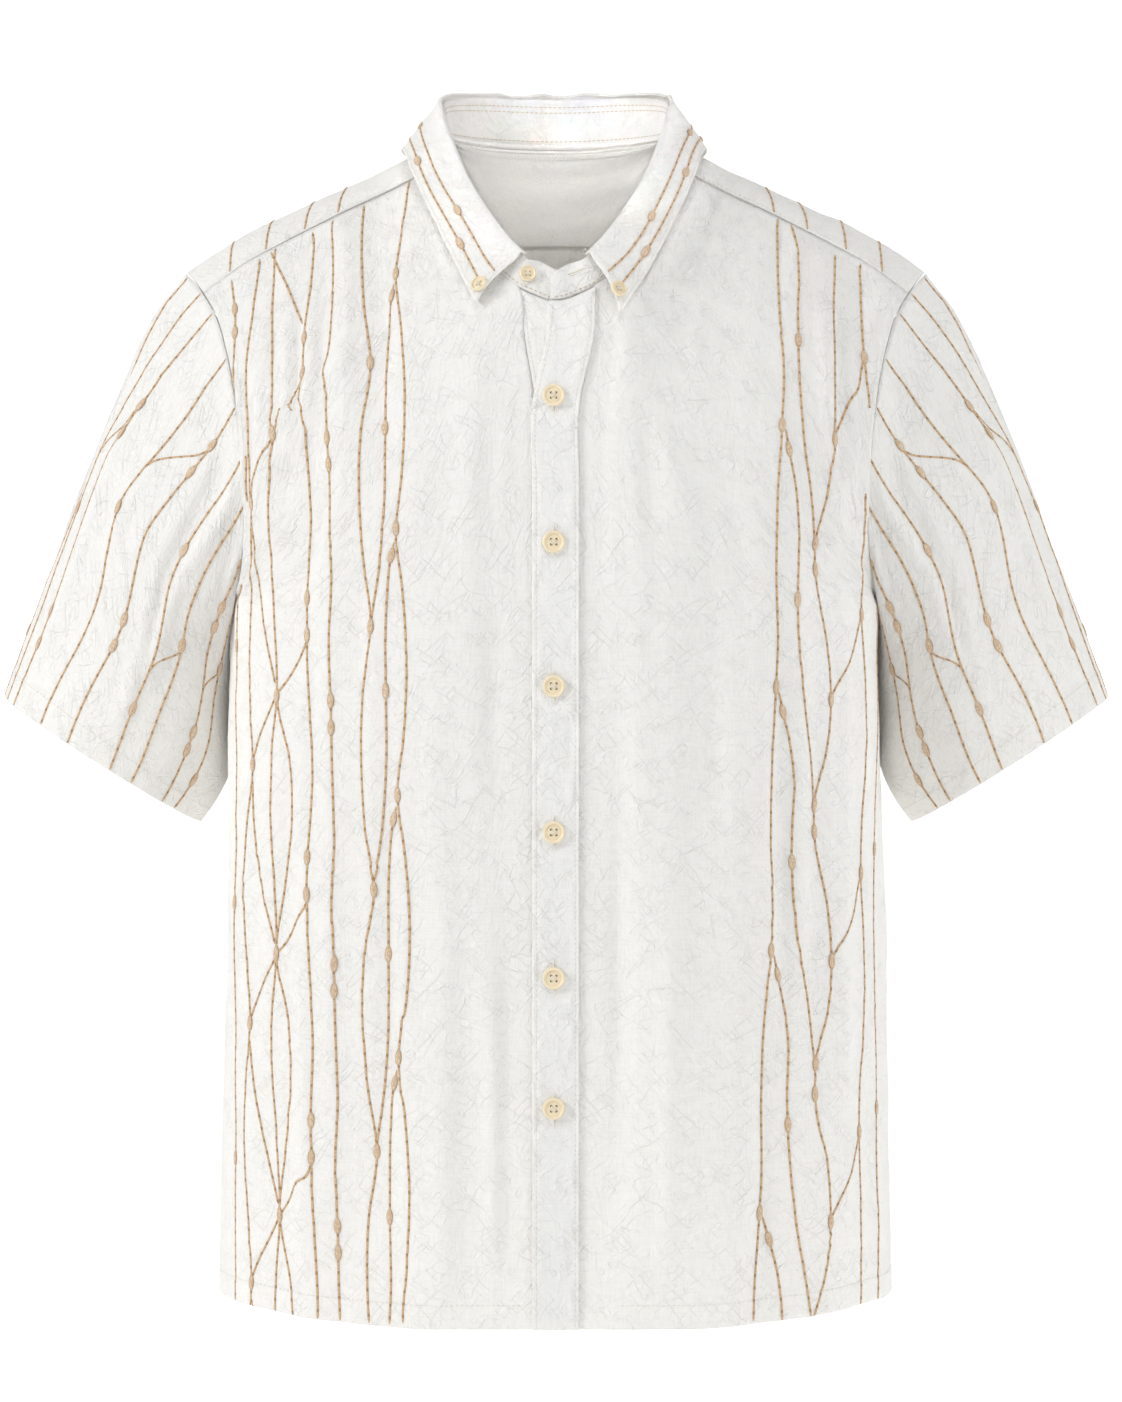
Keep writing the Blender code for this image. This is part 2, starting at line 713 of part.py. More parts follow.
def stand_share(loop):
    """Share of the way from the end of the leaf to the centre back."""
    steps = np.linalg.norm(np.diff(loop, axis=0), axis=1)
    reach = np.concatenate([[0.0], np.cumsum(steps)])
    reach = reach / reach[-1]
    return 1 - np.abs(2 * reach - 1)


def stand_top_point(share, side):
    """Top of the collar stand at a share of the way to the centre back."""
    x = through(STAND_TOP, share, 1) * side
    z = through(STAND_TOP, share, 3) - 0.0025
    return np.stack([x, through(STAND_TOP, share, 2), z], axis=-1)


def leaf_edge_point(share, side):
    """Outer edge of the collar leaf at a share of the way to the back."""
    table = LEAF_EDGE_RIGHT if side < 0 else LEAF_EDGE_LEFT
    x = through(table, share, 1) * side
    return np.stack([x, through(table, share, 2), through(table, share, 3)], axis=-1)


def stand_columns():
    """Lower and upper edge of the collar stand with its two front ends."""
    low = neck_loop()
    share = stand_share(low)
    half = len(low) // 2
    side = np.where(np.arange(len(low)) <= half, -1.0, 1.0)
    top = np.array([stand_top_point(a, b) for a, b in zip(share, side)])
    under = stand_end(STAND_END_UNDER)
    over = stand_end(STAND_END_OVER)
    low = np.vstack([under[0][::-1], low, over[0]])
    top = np.vstack([under[1][::-1], top, over[1]])
    return low, top


def stand_end(table):
    """Lower and upper points of one front end of the stand."""
    rows = np.asarray(table)
    low_z = through(FRONT_NECK, np.abs(rows[:, 0]))
    low_y = body_y(rows[:, 0], low_z, -1) + rows[:, 3]
    low = np.stack([rows[:, 0], low_y, low_z], axis=-1)
    top_y = low_y + 0.0085 - 0.0015 * np.arange(len(rows))
    top = np.stack([rows[:, 1], top_y, rows[:, 2]], axis=-1)
    return low, top


def collar_stand():
    """Surface of the collar stand, neck seam to top."""
    low, top = stand_columns()
    rise = top - low
    length = np.linalg.norm(rise, axis=1, keepdims=True)
    low = low + rise / length * (SEAM_GAP + 0.0003)
    rows = [low * (1 - t) + top * t for t in np.linspace(0, 1, 4)]
    return np.array(rows)


def collar_leaf():
    """Surface of the turned-down collar leaf, fold to outer edge."""
    share = np.concatenate([np.linspace(0, 1, 17), np.linspace(1, 0, 17)[1:]])
    side = np.where(np.arange(33) <= 16, -1.0, 1.0)
    columns = []
    for a, b in zip(share, side):
        fold = stand_top_point(a, b)
        edge = leaf_edge_point(a, b)
        away = edge - fold
        flat = np.array([away[0], away[1], 0.0])
        flat = flat / np.linalg.norm(flat)
        up = np.array([0.0, 0.0, 1.0])
        start = fold + up * 0.0032 + flat * 0.0008
        crest = fold + up * 0.0046 + flat * 0.0036
        turned = fold + flat * 0.0070 + up * 0.0004
        column = [start, crest, turned]
        for t in (0.25, 0.5, 0.75, 1.0):
            bulge = 0.0035 * math.sin(math.pi * t)
            column.append(turned * (1 - t) + edge * t + flat * bulge)
        columns.append(column)
    grid = np.array(columns).transpose(1, 0, 2)
    stand = dense(collar_stand())
    for _ in range(2):
        grid[2:] = lift_off(grid[2:], stand, 0.0042)
        for below in (front_panel(-1), front_panel(1), yoke_panel()):
            grid[3:] = lift_off(grid[3:], dense(below), 0.0036)
    return grid


def dense(grid, times=3):
    """Finer grid between the points of a grid."""
    for axis in (0, 1):
        count = grid.shape[axis]
        at = np.linspace(0, count - 1, (count - 1) * times + 1)
        low = np.minimum(at.astype(int), count - 2)
        share = (at - low).reshape([-1, 1, 1] if axis == 0 else [1, -1, 1])
        first = np.take(grid, low, axis=axis)
        grid = first * (1 - share) + np.take(grid, low + 1, axis=axis) * share
    return grid


def neck_tape(yoke):
    """Narrow strip inside the back neck, just under the stand seam."""
    span = slice(FRONT_COLUMNS + 4, -(FRONT_COLUMNS + 4))
    part = yoke[:3, span]
    out = outward(yoke)[:3, span]
    start = part[0] * 0.92 + part[1] * 0.08
    end = start + (part[1] - start) * 0.42
    away = out[0]
    rows = np.array([start, end]) - away[None] * (CLOTH + 2 * LAYER_GAP)
    return rows


def button(name, centre, facing, radius, material, group, cutters):
    """Turned button with a raised rim and four holes."""
    rim = radius
    profile = ((0.0, 0.0), (rim * 0.80, 0.0), (rim, 0.34), (rim, 0.70))
    profile = profile + ((rim * 0.90, 1.0), (rim * 0.70, 0.92), (rim * 0.58, 0.72), (0.0, 0.68))
    points = [(x, 0.0, z * BUTTON_THICK if z else 0.0) for x, z in profile]
    edges = [(i, i + 1) for i in range(len(points) - 1)]
    mesh = bpy.data.meshes.new(name)
    mesh.from_pydata(points, edges, [])
    mesh.materials.append(material)
    item = bpy.data.objects.new(name, mesh)
    group.objects.link(item)
    turn = item.modifiers.new("turn", "SCREW")
    turn.axis = "Z"
    turn.steps = BUTTON_STEPS
    turn.render_steps = BUTTON_STEPS
    turn.use_merge_vertices = True
    turn.merge_threshold = 0.00001
    turn.use_normal_calculate = True
    tilt = facing.to_track_quat("Z", "Y")
    item.matrix_world = tilt_matrix(centre, tilt)
    tool = hole_tool(name + "_holes", radius, cutters)
    tool.matrix_world = item.matrix_world
    holes = item.modifiers.new("holes", "BOOLEAN")
    holes.operation = "DIFFERENCE"
    holes.solver = "EXACT"
    holes.object = tool
    return item


def tilt_matrix(centre, tilt):
    """World matrix from a place and a rotation."""
    matrix = tilt.to_matrix().to_4x4()
    matrix.translation = centre
    return matrix


def hole_tool(name, radius, cutters):
    """Four six-sided pins that cut the holes of one button."""
    vertices = []
    faces = []
    spread_out = radius * 0.23
    pin = radius * 0.125
    for sx, sy in ((-1, -1), (1, -1), (1, 1), (-1, 1)):
        base = len(vertices)
        for z in (-0.002, BUTTON_THICK + 0.002):
            for k in range(6):
                angle = k * math.pi / 3
                x = sx * spread_out + pin * math.cos(angle)
                y = sy * spread_out + pin * math.sin(angle)
                vertices.append((x, y, z))
        faces.append([base + k for k in range(5, -1, -1)])
        faces.append([base + 6 + k for k in range(6)])
        for k in range(6):
            n = (k + 1) % 6
            faces.append((base + k, base + n, base + 6 + n, base + 6 + k))
    mesh = bpy.data.meshes.new(name)
    mesh.from_pydata(vertices, [], faces)
    item = bpy.data.objects.new(name, mesh)
    item.hide_render = True
    item.display_type = "WIRE"
    cutters.objects.link(item)
    return item


def place_on(grid, x, z, lift):
    """Point and outward direction of a sheet at a place seen from the front."""
    fine = dense(grid, 8)
    out = outward(fine).reshape(-1, 3)
    points = fine.reshape(-1, 3)
    near = np.argmin((points[:, 0] - x) ** 2 + (points[:, 2] - z) ** 2)
    direction = Vector(out[near].tolist()).normalized()
    return Vector(points[near].tolist()) + direction * lift, direction


def build_cloth(shirt):
    """Make every cloth piece and return the sheets that carry buttons."""
    cloth = principled("crinkled_cotton", (0.91, 0.89, 0.85), 0.9)
    yoke = yoke_panel()
    gap = SEAM_GAP / 2
    front_grids = {}
    for side, name, folds in ((-1, "front_right", FOLDS_RIGHT), (1, "front_left", FOLDS_LEFT)):
        grid = front_panel(side)
        lift = fold_heights(grid, folds, side) * edge_window(grid.shape[:2], 0.2, 0.1, 0.2)
        grid = grid + outward(grid) * lift[..., None]
        grid = inset(grid, 0.0, gap, 0.0, gap)
        front_grids[side] = grid
        sheet(name, grid, CLOTH, cloth.copy(), shirt)
    grid = back_panel()
    lift = fold_heights(grid, FOLDS_BACK) * edge_window(grid.shape[:2], 0.1, 0.1, 0.2)
    grid = grid + outward(grid) * lift[..., None]
    sheet("back", inset(grid, 0.0, gap, gap, gap), CLOTH, cloth.copy(), shirt)
    sheet("yoke", inset(yoke, gap, gap, gap, gap), CLOTH, cloth.copy(), shirt)
    for side, name in ((-1, "sleeve_right"), (1, "sleeve_left")):
        grid = sleeve_panel(side, yoke)
        grid = grid + outward(grid, True) * sleeve_folds(grid, side)[..., None]
        step = grid[1] - grid[0]
        length = np.linalg.norm(step, axis=1, keepdims=True)
        grid[0] = grid[0] + step / length * (SEAM_GAP + 0.0004)
        flip = np.array([side, 1.0, 1.0])
        grid = clear_of_body(grid * flip, 0.0010) * flip
        sheet(name, grid, CLOTH, cloth.copy(), shirt, closed=True)
    upper = upper_placket()
    sheet("placket_upper", upper, COLLAR_CLOTH, cloth.copy(), shirt)
    sheet("placket_under", under_placket(), CLOTH, cloth.copy(), shirt)
    stand = collar_stand()
    sheet("collar_stand", stand, COLLAR_CLOTH, cloth.copy(), shirt)
    leaf = collar_leaf()
    sheet("collar_leaf", leaf, COLLAR_CLOTH, cloth.copy(), shirt)
    sheet("neck_tape", neck_tape(yoke), 0.0010, cloth.copy(), shirt)
    return upper, stand, leaf


def build_buttons(sheets, shirt, cutters):
    """Sew six buttons down the front, one on the stand, two on the collar."""
    upper, stand, leaf = sheets
    horn = principled("button_resin", (0.85, 0.76, 0.56), 0.35)
    spots = []
    for index, z in enumerate(BUTTON_Z):
        spots.append(("button_front_%d" % (index + 1), upper, -0.0008, z, BUTTON_RADIUS))
    spots.append(("button_stand", stand, -0.0180, -0.1005, SMALL_BUTTON_RADIUS))
    spots.append(("button_collar_right", leaf, -0.0470, -0.1075, SMALL_BUTTON_RADIUS))
    spots.append(("button_collar_left", leaf, 0.0385, -0.1120, SMALL_BUTTON_RADIUS))
    for name, grid, x, z, radius in spots:
        centre, facing = place_on(grid, x, z, BUTTON_GAP)
        button(name, centre, facing, radius, horn.copy(), shirt, cutters)


def main():
    """Build the whole shirt."""
    clear_scene()
    shirt = new_collection("embroidered_shirt")
    cutters = new_collection("cutters")
    sheets = build_cloth(shirt)
    bpy.context.view_layer.update()
    build_buttons(sheets, shirt, cutters)


main()
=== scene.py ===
import math
from functools import partial

import bpy
import numpy as np
from bpy.props import FloatProperty, FloatVectorProperty, PointerProperty
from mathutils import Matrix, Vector
from mathutils.bvhtree import BVHTree


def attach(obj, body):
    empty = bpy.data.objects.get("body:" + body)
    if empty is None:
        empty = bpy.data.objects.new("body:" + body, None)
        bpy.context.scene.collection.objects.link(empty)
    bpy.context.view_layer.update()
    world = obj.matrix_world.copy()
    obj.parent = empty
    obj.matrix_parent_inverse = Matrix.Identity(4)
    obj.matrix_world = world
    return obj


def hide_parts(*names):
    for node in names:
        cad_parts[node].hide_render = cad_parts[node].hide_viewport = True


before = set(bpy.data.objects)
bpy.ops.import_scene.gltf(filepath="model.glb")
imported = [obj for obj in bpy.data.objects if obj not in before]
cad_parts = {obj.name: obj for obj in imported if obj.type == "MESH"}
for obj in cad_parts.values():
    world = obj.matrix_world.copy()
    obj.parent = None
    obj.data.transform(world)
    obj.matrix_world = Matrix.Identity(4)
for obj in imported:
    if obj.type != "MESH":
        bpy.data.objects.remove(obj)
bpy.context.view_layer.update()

bl_info = {
    "name": "Embroidered Shirt Looks",
    "version": (1, 0, 0),
    "blender": (4, 5, 0),
    "location": "View3D > Sidebar > Shirt",
    "description": "Crinkled cloth, couched embroidery, topstitching and buttons of a worn shirt",
    "category": "Object",
}

# Cloth and seams, as in the solids
CLOTH = 0.0012
COLLAR_CLOTH = 0.0014
SEAM_GAP = 0.0005
LAYER_GAP = 0.0006
SHELL = 0.0010
COLLAR_SHELL = COLLAR_CLOTH - 0.0002
TAPE_SHELL = 0.0009

# Body of the shirt
SIDE_POWER = 2.6
UNDERARM_Z = -0.307
RIDGE_DROP = 0.10
HEM_Z = -0.7545
HEM_RISE = 0.0090
NECK_X = 0.0722
FRONT_TOP_X = 0.2270
BACK_TOP_X = 0.2175
BACK_NECK_X = 0.105

# Fastening down the centre front
BAND_HALF = 0.0145
BAND_LAP = 0.0020
BAND_TOP_SHIFT = 0.0105

# Buttons
BUTTON_RADIUS = 0.0069
SMALL_BUTTON_RADIUS = 0.0052
BUTTON_THICK = 0.0024
BUTTON_GAP = 0.0004
BUTTON_Z = (-0.179, -0.268, -0.357, -0.448, -0.536, -0.619)
BAND_BUTTON_X = -0.0008
STAND_BUTTON = (-0.0180, -0.1005)
HOLE_AWAY = 0.23
BUTTON_HOLES = ((-1, -1), (1, -1), (1, 1), (-1, 1))
# Buttons of the collar tips: name, x, z, and the way that the buttonhole runs
TIP_BUTTONS = (
    ("right", -0.0470, -0.1075, (0.55, 0.0, -0.83)),
    ("left", 0.0385, -0.1120, (-0.50, 0.0, -0.86)),
)
# Buttonhole of the stand's end that lies over: x, z, and the way that it runs
STAND_HOLE = (0.0122, -0.1005, (0.93, 0.0, 0.37))
HOLE_LONG = 0.0205
SMALL_HOLE_LONG = 0.0150
HOLE_WIDE = 0.0016

# Rows and columns of the grids, as in the solids
FRONT_COLUMNS = 16
SIDE_ROWS = 12
ARM_ROWS = 9
NECK_COLUMNS = 5
EDGE_TOP_Z = -0.300
YOKE_ROWS = 5
BACK_COLUMNS = 24
SLEEVE_ROWS = 10

# Shoulder line seen from the front: x, z
SHOULDER_LINE = (
    (0.0000, 0.0360), (0.0200, 0.0345), (0.0400, 0.0290), (0.0550, 0.0205),
    (0.0650, 0.0115), (0.0725, 0.0040), (0.0850, -0.0055), (0.1000, -0.0145),
    (0.1400, -0.0330), (0.1800, -0.0515), (0.2000, -0.0610), (0.2200, -0.0735),
    (0.2400, -0.0875), (0.2700, -0.1100),
)
# Half width of the body: z, x
HALF_WIDTH = (
    (-0.760, 0.2176), (-0.620, 0.2145), (-0.500, 0.2118), (-0.400, 0.2098),
    (-0.330, 0.2082), (-0.290, 0.2092), (-0.250, 0.2150), (-0.200, 0.2320),
    (-0.130, 0.2600), (-0.050, 0.2800), (0.040, 0.2900),
)
# Depth of the chest and the back: z, front, back
BODY_DEPTH = (
    (-0.760, 0.128, 0.130),
    (-0.600, 0.132, 0.132),
    (-0.456, 0.136, 0.134),
    (-0.300, 0.139, 0.142),
    (-0.150, 0.137, 0.146),
    (0.040, 0.134, 0.146),
)
FRONT_ARCH = (0.24, 0.80)
BACK_ARCH = (0.17, 0.70)
# Front armhole from the underarm to the yoke seam: x, z
FRONT_ARMHOLE = (
    (0.2085, -0.3070), (0.2058, -0.3005), (0.2008, -0.2870), (0.1978, -0.2650),
    (0.1966, -0.2350), (0.1982, -0.2050), (0.2028, -0.1740), (0.2095, -0.1430),
    (0.2180, -0.1180), (0.2270, -0.1025),
)
# Back armhole from the underarm to the yoke seam: x, z
BACK_ARMHOLE = (
    (0.2085, -0.3070), (0.2060, -0.3015), (0.2020, -0.2900), (0.1995, -0.2700),
    (0.1988, -0.2420), (0.2000, -0.2110), (0.2035, -0.1830), (0.2080, -0.1590),
    (0.2125, -0.1400), (0.2175, -0.1240),
)
# Shoulder end of the yoke: q, x
YOKE_END = (
    (-0.505, 0.2270), (-0.300, 0.2350), (0.000, 0.2400), (0.300, 0.2355),
    (0.520, 0.2280), (0.724, 0.2175),
)
# Front neckline from the centre to the yoke seam: x, z
FRONT_NECK = (
    (0.0000, -0.1190), (0.0125, -0.1145), (0.0254, -0.1080), (0.0400, -0.0945),
    (0.0530, -0.0770), (0.0630, -0.0550), (0.0700, -0.0330), (0.0722, -0.0180),
)
# Neckline across the yoke from the yoke seam to the centre back: x, q
YOKE_NECK = (
    (0.0722, -0.448), (0.0727, -0.200), (0.0727, 0.000), (0.0715, 0.160),
    (0.0660, 0.300), (0.0550, 0.430), (0.0400, 0.520), (0.0200, 0.570),
    (0.0000, 0.583),
)
# Front yoke seam below the shoulder line: x, drop
FRONT_YOKE_DROP = (
    (0.0722, 0.0201), (0.1000, 0.0190), (0.1600, 0.0205), (0.2270, 0.0250),
)
# Back yoke seam: height at the centre, fall towards the armhole, its x
BACK_YOKE = (-0.056, 0.067, BACK_TOP_X)
# Sleeve along its length: v, top x, top z, bottom x, bottom z, middle y, half depth
SLEEVE_LINE = (
    (0.00, 0.2400, -0.0875, 0.2085, -0.3070, 0.004, 0.0870),
    (0.12, 0.2585, -0.1140, 0.2096, -0.3250, 0.007, 0.0800),
    (0.30, 0.2820, -0.1660, 0.2100, -0.3520, 0.012, 0.0740),
    (0.50, 0.3040, -0.2190, 0.2106, -0.3790, 0.015, 0.0690),
    (0.75, 0.3315, -0.2890, 0.2120, -0.4090, 0.015, 0.0640),
    (0.90, 0.3480, -0.3320, 0.2215, -0.4300, 0.013, 0.0615),
    (1.00, 0.3590, -0.3630, 0.2318, -0.4445, 0.012, 0.0600),
)
# Top of the collar stand: share of the way to the centre back, x, y, z
STAND_TOP = (
    (0.00, 0.0175, -0.1140, -0.0885),
    (0.16, 0.0300, -0.1050, -0.0745),
    (0.30, 0.0430, -0.0905, -0.0555),
    (0.42, 0.0560, -0.0690, -0.0320),
    (0.52, 0.0660, -0.0430, -0.0060),
    (0.62, 0.0725, -0.0070, 0.0180),
    (0.74, 0.0700, 0.0320, 0.0320),
    (0.88, 0.0400, 0.0610, 0.0360),
    (1.00, 0.0000, 0.0680, 0.0370),
)
# Front end of the stand that lies under: low x, top x, top z, set back
STAND_END_UNDER = (
    (-0.0120, -0.0095, -0.0925, 0.0014),
    (-0.0010, 0.0000, -0.0975, 0.0024),
    (0.0110, 0.0105, -0.1005, 0.0026),
)
# Front end of the stand that lies over: low x, top x, top z, set back
STAND_END_OVER = (
    (0.0125, 0.0085, -0.0940, 0.0002),
    (0.0040, 0.0020, -0.0975, -0.0002),
    (-0.0037, -0.0032, -0.1020, -0.0004),
)
# Outer edge of the collar leaf, wearer's right: v, x, y, z
LEAF_EDGE_RIGHT = (
    (0.00, 0.0500, -0.1250, -0.1198),
    (0.16, 0.0640, -0.1010, -0.0900),
    (0.30, 0.0795, -0.0760, -0.0570),
    (0.42, 0.0910, -0.0500, -0.0310),
    (0.52, 0.0985, -0.0230, -0.0110),
    (0.62, 0.1010, 0.0100, -0.0080),
    (0.74, 0.0900, 0.0560, -0.0090),
    (0.88, 0.0480, 0.0880, -0.0100),
    (1.00, 0.0000, 0.0960, -0.0110),
)
# Outer edge of the collar leaf, wearer's left: v, x, y, z
LEAF_EDGE_LEFT = (
    (0.00, 0.0401, -0.1300, -0.1260),
    (0.16, 0.0590, -0.1050, -0.0950),
    (0.30, 0.0765, -0.0770, -0.0590),
    (0.42, 0.0875, -0.0510, -0.0340),
    (0.52, 0.0955, -0.0230, -0.0110),
    (0.62, 0.0990, 0.0100, -0.0080),
    (0.74, 0.0890, 0.0560, -0.0090),
    (0.88, 0.0480, 0.0880, -0.0100),
    (1.00, 0.0000, 0.0960, -0.0110),
)
# Folds of the fronts, wearer's right: x0, z0, x1, z1, width, height
FOLDS_RIGHT = (
    (0.180, -0.135, 0.183, -0.260, 0.017, 0.0030),
    (0.140, -0.110, 0.138, -0.220, 0.018, 0.0020),
    (0.048, -0.130, 0.055, -0.330, 0.018, 0.0018),
    (0.160, -0.450, 0.155, -0.770, 0.020, 0.0040),
    (0.085, -0.520, 0.080, -0.770, 0.022, 0.0030),
    (0.190, -0.560, 0.192, -0.770, 0.014, 0.0030),
)
# Folds of the fronts, wearer's left: x0, z0, x1, z1, width, height
FOLDS_LEFT = (
    (0.183, -0.130, 0.181, -0.250, 0.017, 0.0030),
    (0.140, -0.105, 0.138, -0.200, 0.018, 0.0018),
    (0.052, -0.140, 0.092, -0.300, 0.020, 0.0022),
    (0.120, -0.330, 0.118, -0.600, 0.020, 0.0016),
    (0.165, -0.480, 0.170, -0.770, 0.020, 0.0038),
    (0.095, -0.540, 0.098, -0.770, 0.022, 0.0026),
)
# Folds of the back, across its whole width: x0, z0, x1, z1, width, height
FOLDS_BACK = (
    (-0.150, -0.190, -0.125, -0.770, 0.020, 0.0045),
    (0.148, -0.190, 0.122, -0.770, 0.020, 0.0045),
    (-0.055, -0.330, -0.050, -0.770, 0.024, 0.0034),
    (0.040, -0.360, 0.052, -0.770, 0.024, 0.0034),
    (-0.185, -0.420, -0.190, -0.770, 0.014, 0.0030),
    (0.186, -0.440, 0.190, -0.770, 0.014, 0.0030),
)
# Folds of a sleeve: turn, width in turns, height
FOLDS_SLEEVE = (
    (0.16, 0.030, 0.0032),
    (0.27, 0.028, 0.0026),
    (0.38, 0.028, 0.0030),
    (0.63, 0.030, 0.0030),
    (0.76, 0.030, 0.0034),
    (0.88, 0.026, 0.0026),
)

# Fine creases of a front, wearer's right: x0, z0, x1, z1, width, height
CREASES_RIGHT = (
    (0.197, -0.130, 0.199, -0.240, 0.0060, 0.0016),
    (0.186, -0.125, 0.184, -0.220, 0.0060, 0.0018),
    (0.170, -0.118, 0.168, -0.200, 0.0060, 0.0014),
    (0.155, -0.110, 0.152, -0.190, 0.0060, 0.0012),
    (0.181, -0.200, 0.131, -0.150, 0.0070, 0.0018),
    (0.190, -0.235, 0.150, -0.185, 0.0070, 0.0014),
    (0.178, -0.300, 0.176, -0.600, 0.0080, 0.0015),
    (0.142, -0.280, 0.140, -0.660, 0.0080, 0.0013),
    (0.110, -0.240, 0.112, -0.600, 0.0080, 0.0011),
    (0.160, -0.330, 0.158, -0.700, 0.0060, 0.0010),
    (0.094, -0.350, 0.096, -0.740, 0.0070, 0.0010),
    (0.047, -0.125, 0.052, -0.420, 0.0090, 0.0014),
    (0.027, -0.140, 0.030, -0.300, 0.0060, 0.0010),
    (0.070, -0.450, 0.068, -0.740, 0.0080, 0.0010),
    (0.040, -0.500, 0.036, -0.740, 0.0080, 0.0010),
    (0.195, -0.330, 0.193, -0.560, 0.0060, 0.0010),
    (0.072, -0.220, 0.074, -0.745, 0.0180, 0.0026),
)
# Fine creases of a front, wearer's left: x0, z0, x1, z1, width, height
CREASES_LEFT = (
    (0.200, -0.130, 0.199, -0.250, 0.0060, 0.0016),
    (0.186, -0.120, 0.184, -0.230, 0.0060, 0.0016),
    (0.168, -0.115, 0.166, -0.190, 0.0060, 0.0012),
    (0.040, -0.126, 0.055, -0.300, 0.0080, 0.0009),
    (0.040, -0.126, 0.085, -0.260, 0.0080, 0.0007),
    (0.040, -0.126, 0.030, -0.330, 0.0070, 0.0006),
    (0.027, -0.260, 0.026, -0.600, 0.0060, 0.0008),
    (0.052, -0.330, 0.050, -0.700, 0.0090, 0.0011),
    (0.089, -0.300, 0.090, -0.640, 0.0090, 0.0010),
    (0.126, -0.240, 0.125, -0.560, 0.0080, 0.0011),
    (0.151, -0.260, 0.150, -0.640, 0.0080, 0.0013),
    (0.182, -0.300, 0.181, -0.600, 0.0070, 0.0014),
    (0.195, -0.330, 0.197, -0.620, 0.0060, 0.0010),
    (0.135, -0.480, 0.138, -0.740, 0.0080, 0.0010),
    (0.070, -0.500, 0.066, -0.740, 0.0080, 0.0010),
    (0.066, -0.240, 0.070, -0.745, 0.0180, 0.0030),
    (0.114, -0.300, 0.110, -0.745, 0.0140, 0.0018),
)
# Fine creases of the back, both halves: x0, z0, x1, z1, width, height
CREASES_BACK = (
    (0.192, -0.170, 0.196, -0.270, 0.0060, 0.0014),
    (0.178, -0.150, 0.174, -0.260, 0.0070, 0.0015),
    (0.160, -0.140, 0.152, -0.240, 0.0070, 0.0012),
    (0.176, -0.300, 0.174, -0.640, 0.0080, 0.0013),
    (0.112, -0.200, 0.104, -0.560, 0.0090, 0.0012),
    (0.084, -0.260, 0.086, -0.720, 0.0090, 0.0012),
    (0.026, -0.160, 0.024, -0.480, 0.0090, 0.0012),
    (0.012, -0.380, 0.014, -0.740, 0.0080, 0.0010),
    (0.140, -0.380, 0.144, -0.740, 0.0070, 0.0011),
    (0.198, -0.340, 0.200, -0.700, 0.0060, 0.0011),
)
# Fine creases of a sleeve: turn, v from, v to, width in turns, height, drift
CREASES_SLEEVE = (
    (0.080, 0.05, 0.70, 0.010, 0.0013, 0.020),
    (0.125, 0.02, 0.80, 0.011, 0.0015, -0.015),
    (0.200, 0.00, 0.75, 0.012, 0.0017, 0.030),
    (0.235, 0.10, 0.95, 0.010, 0.0012, -0.020),
    (0.300, 0.00, 0.60, 0.012, 0.0016, 0.018),
    (0.345, 0.12, 0.90, 0.010, 0.0013, -0.022),
    (0.420, 0.00, 0.50, 0.011, 0.0012, 0.020),
    (0.465, 0.05, 0.70, 0.011, 0.0013, 0.010),
    (0.540, 0.00, 0.60, 0.011, 0.0013, -0.016),
    (0.590, 0.10, 0.90, 0.010, 0.0012, 0.020),
    (0.680, 0.00, 0.70, 0.012, 0.0016, 0.020),
    (0.720, 0.15, 0.90, 0.010, 0.0012, -0.020),
    (0.815, 0.00, 0.75, 0.012, 0.0016, 0.016),
    (0.850, 0.10, 0.80, 0.010, 0.0013, -0.014),
    (0.930, 0.05, 0.80, 0.010, 0.0013, 0.014),
)

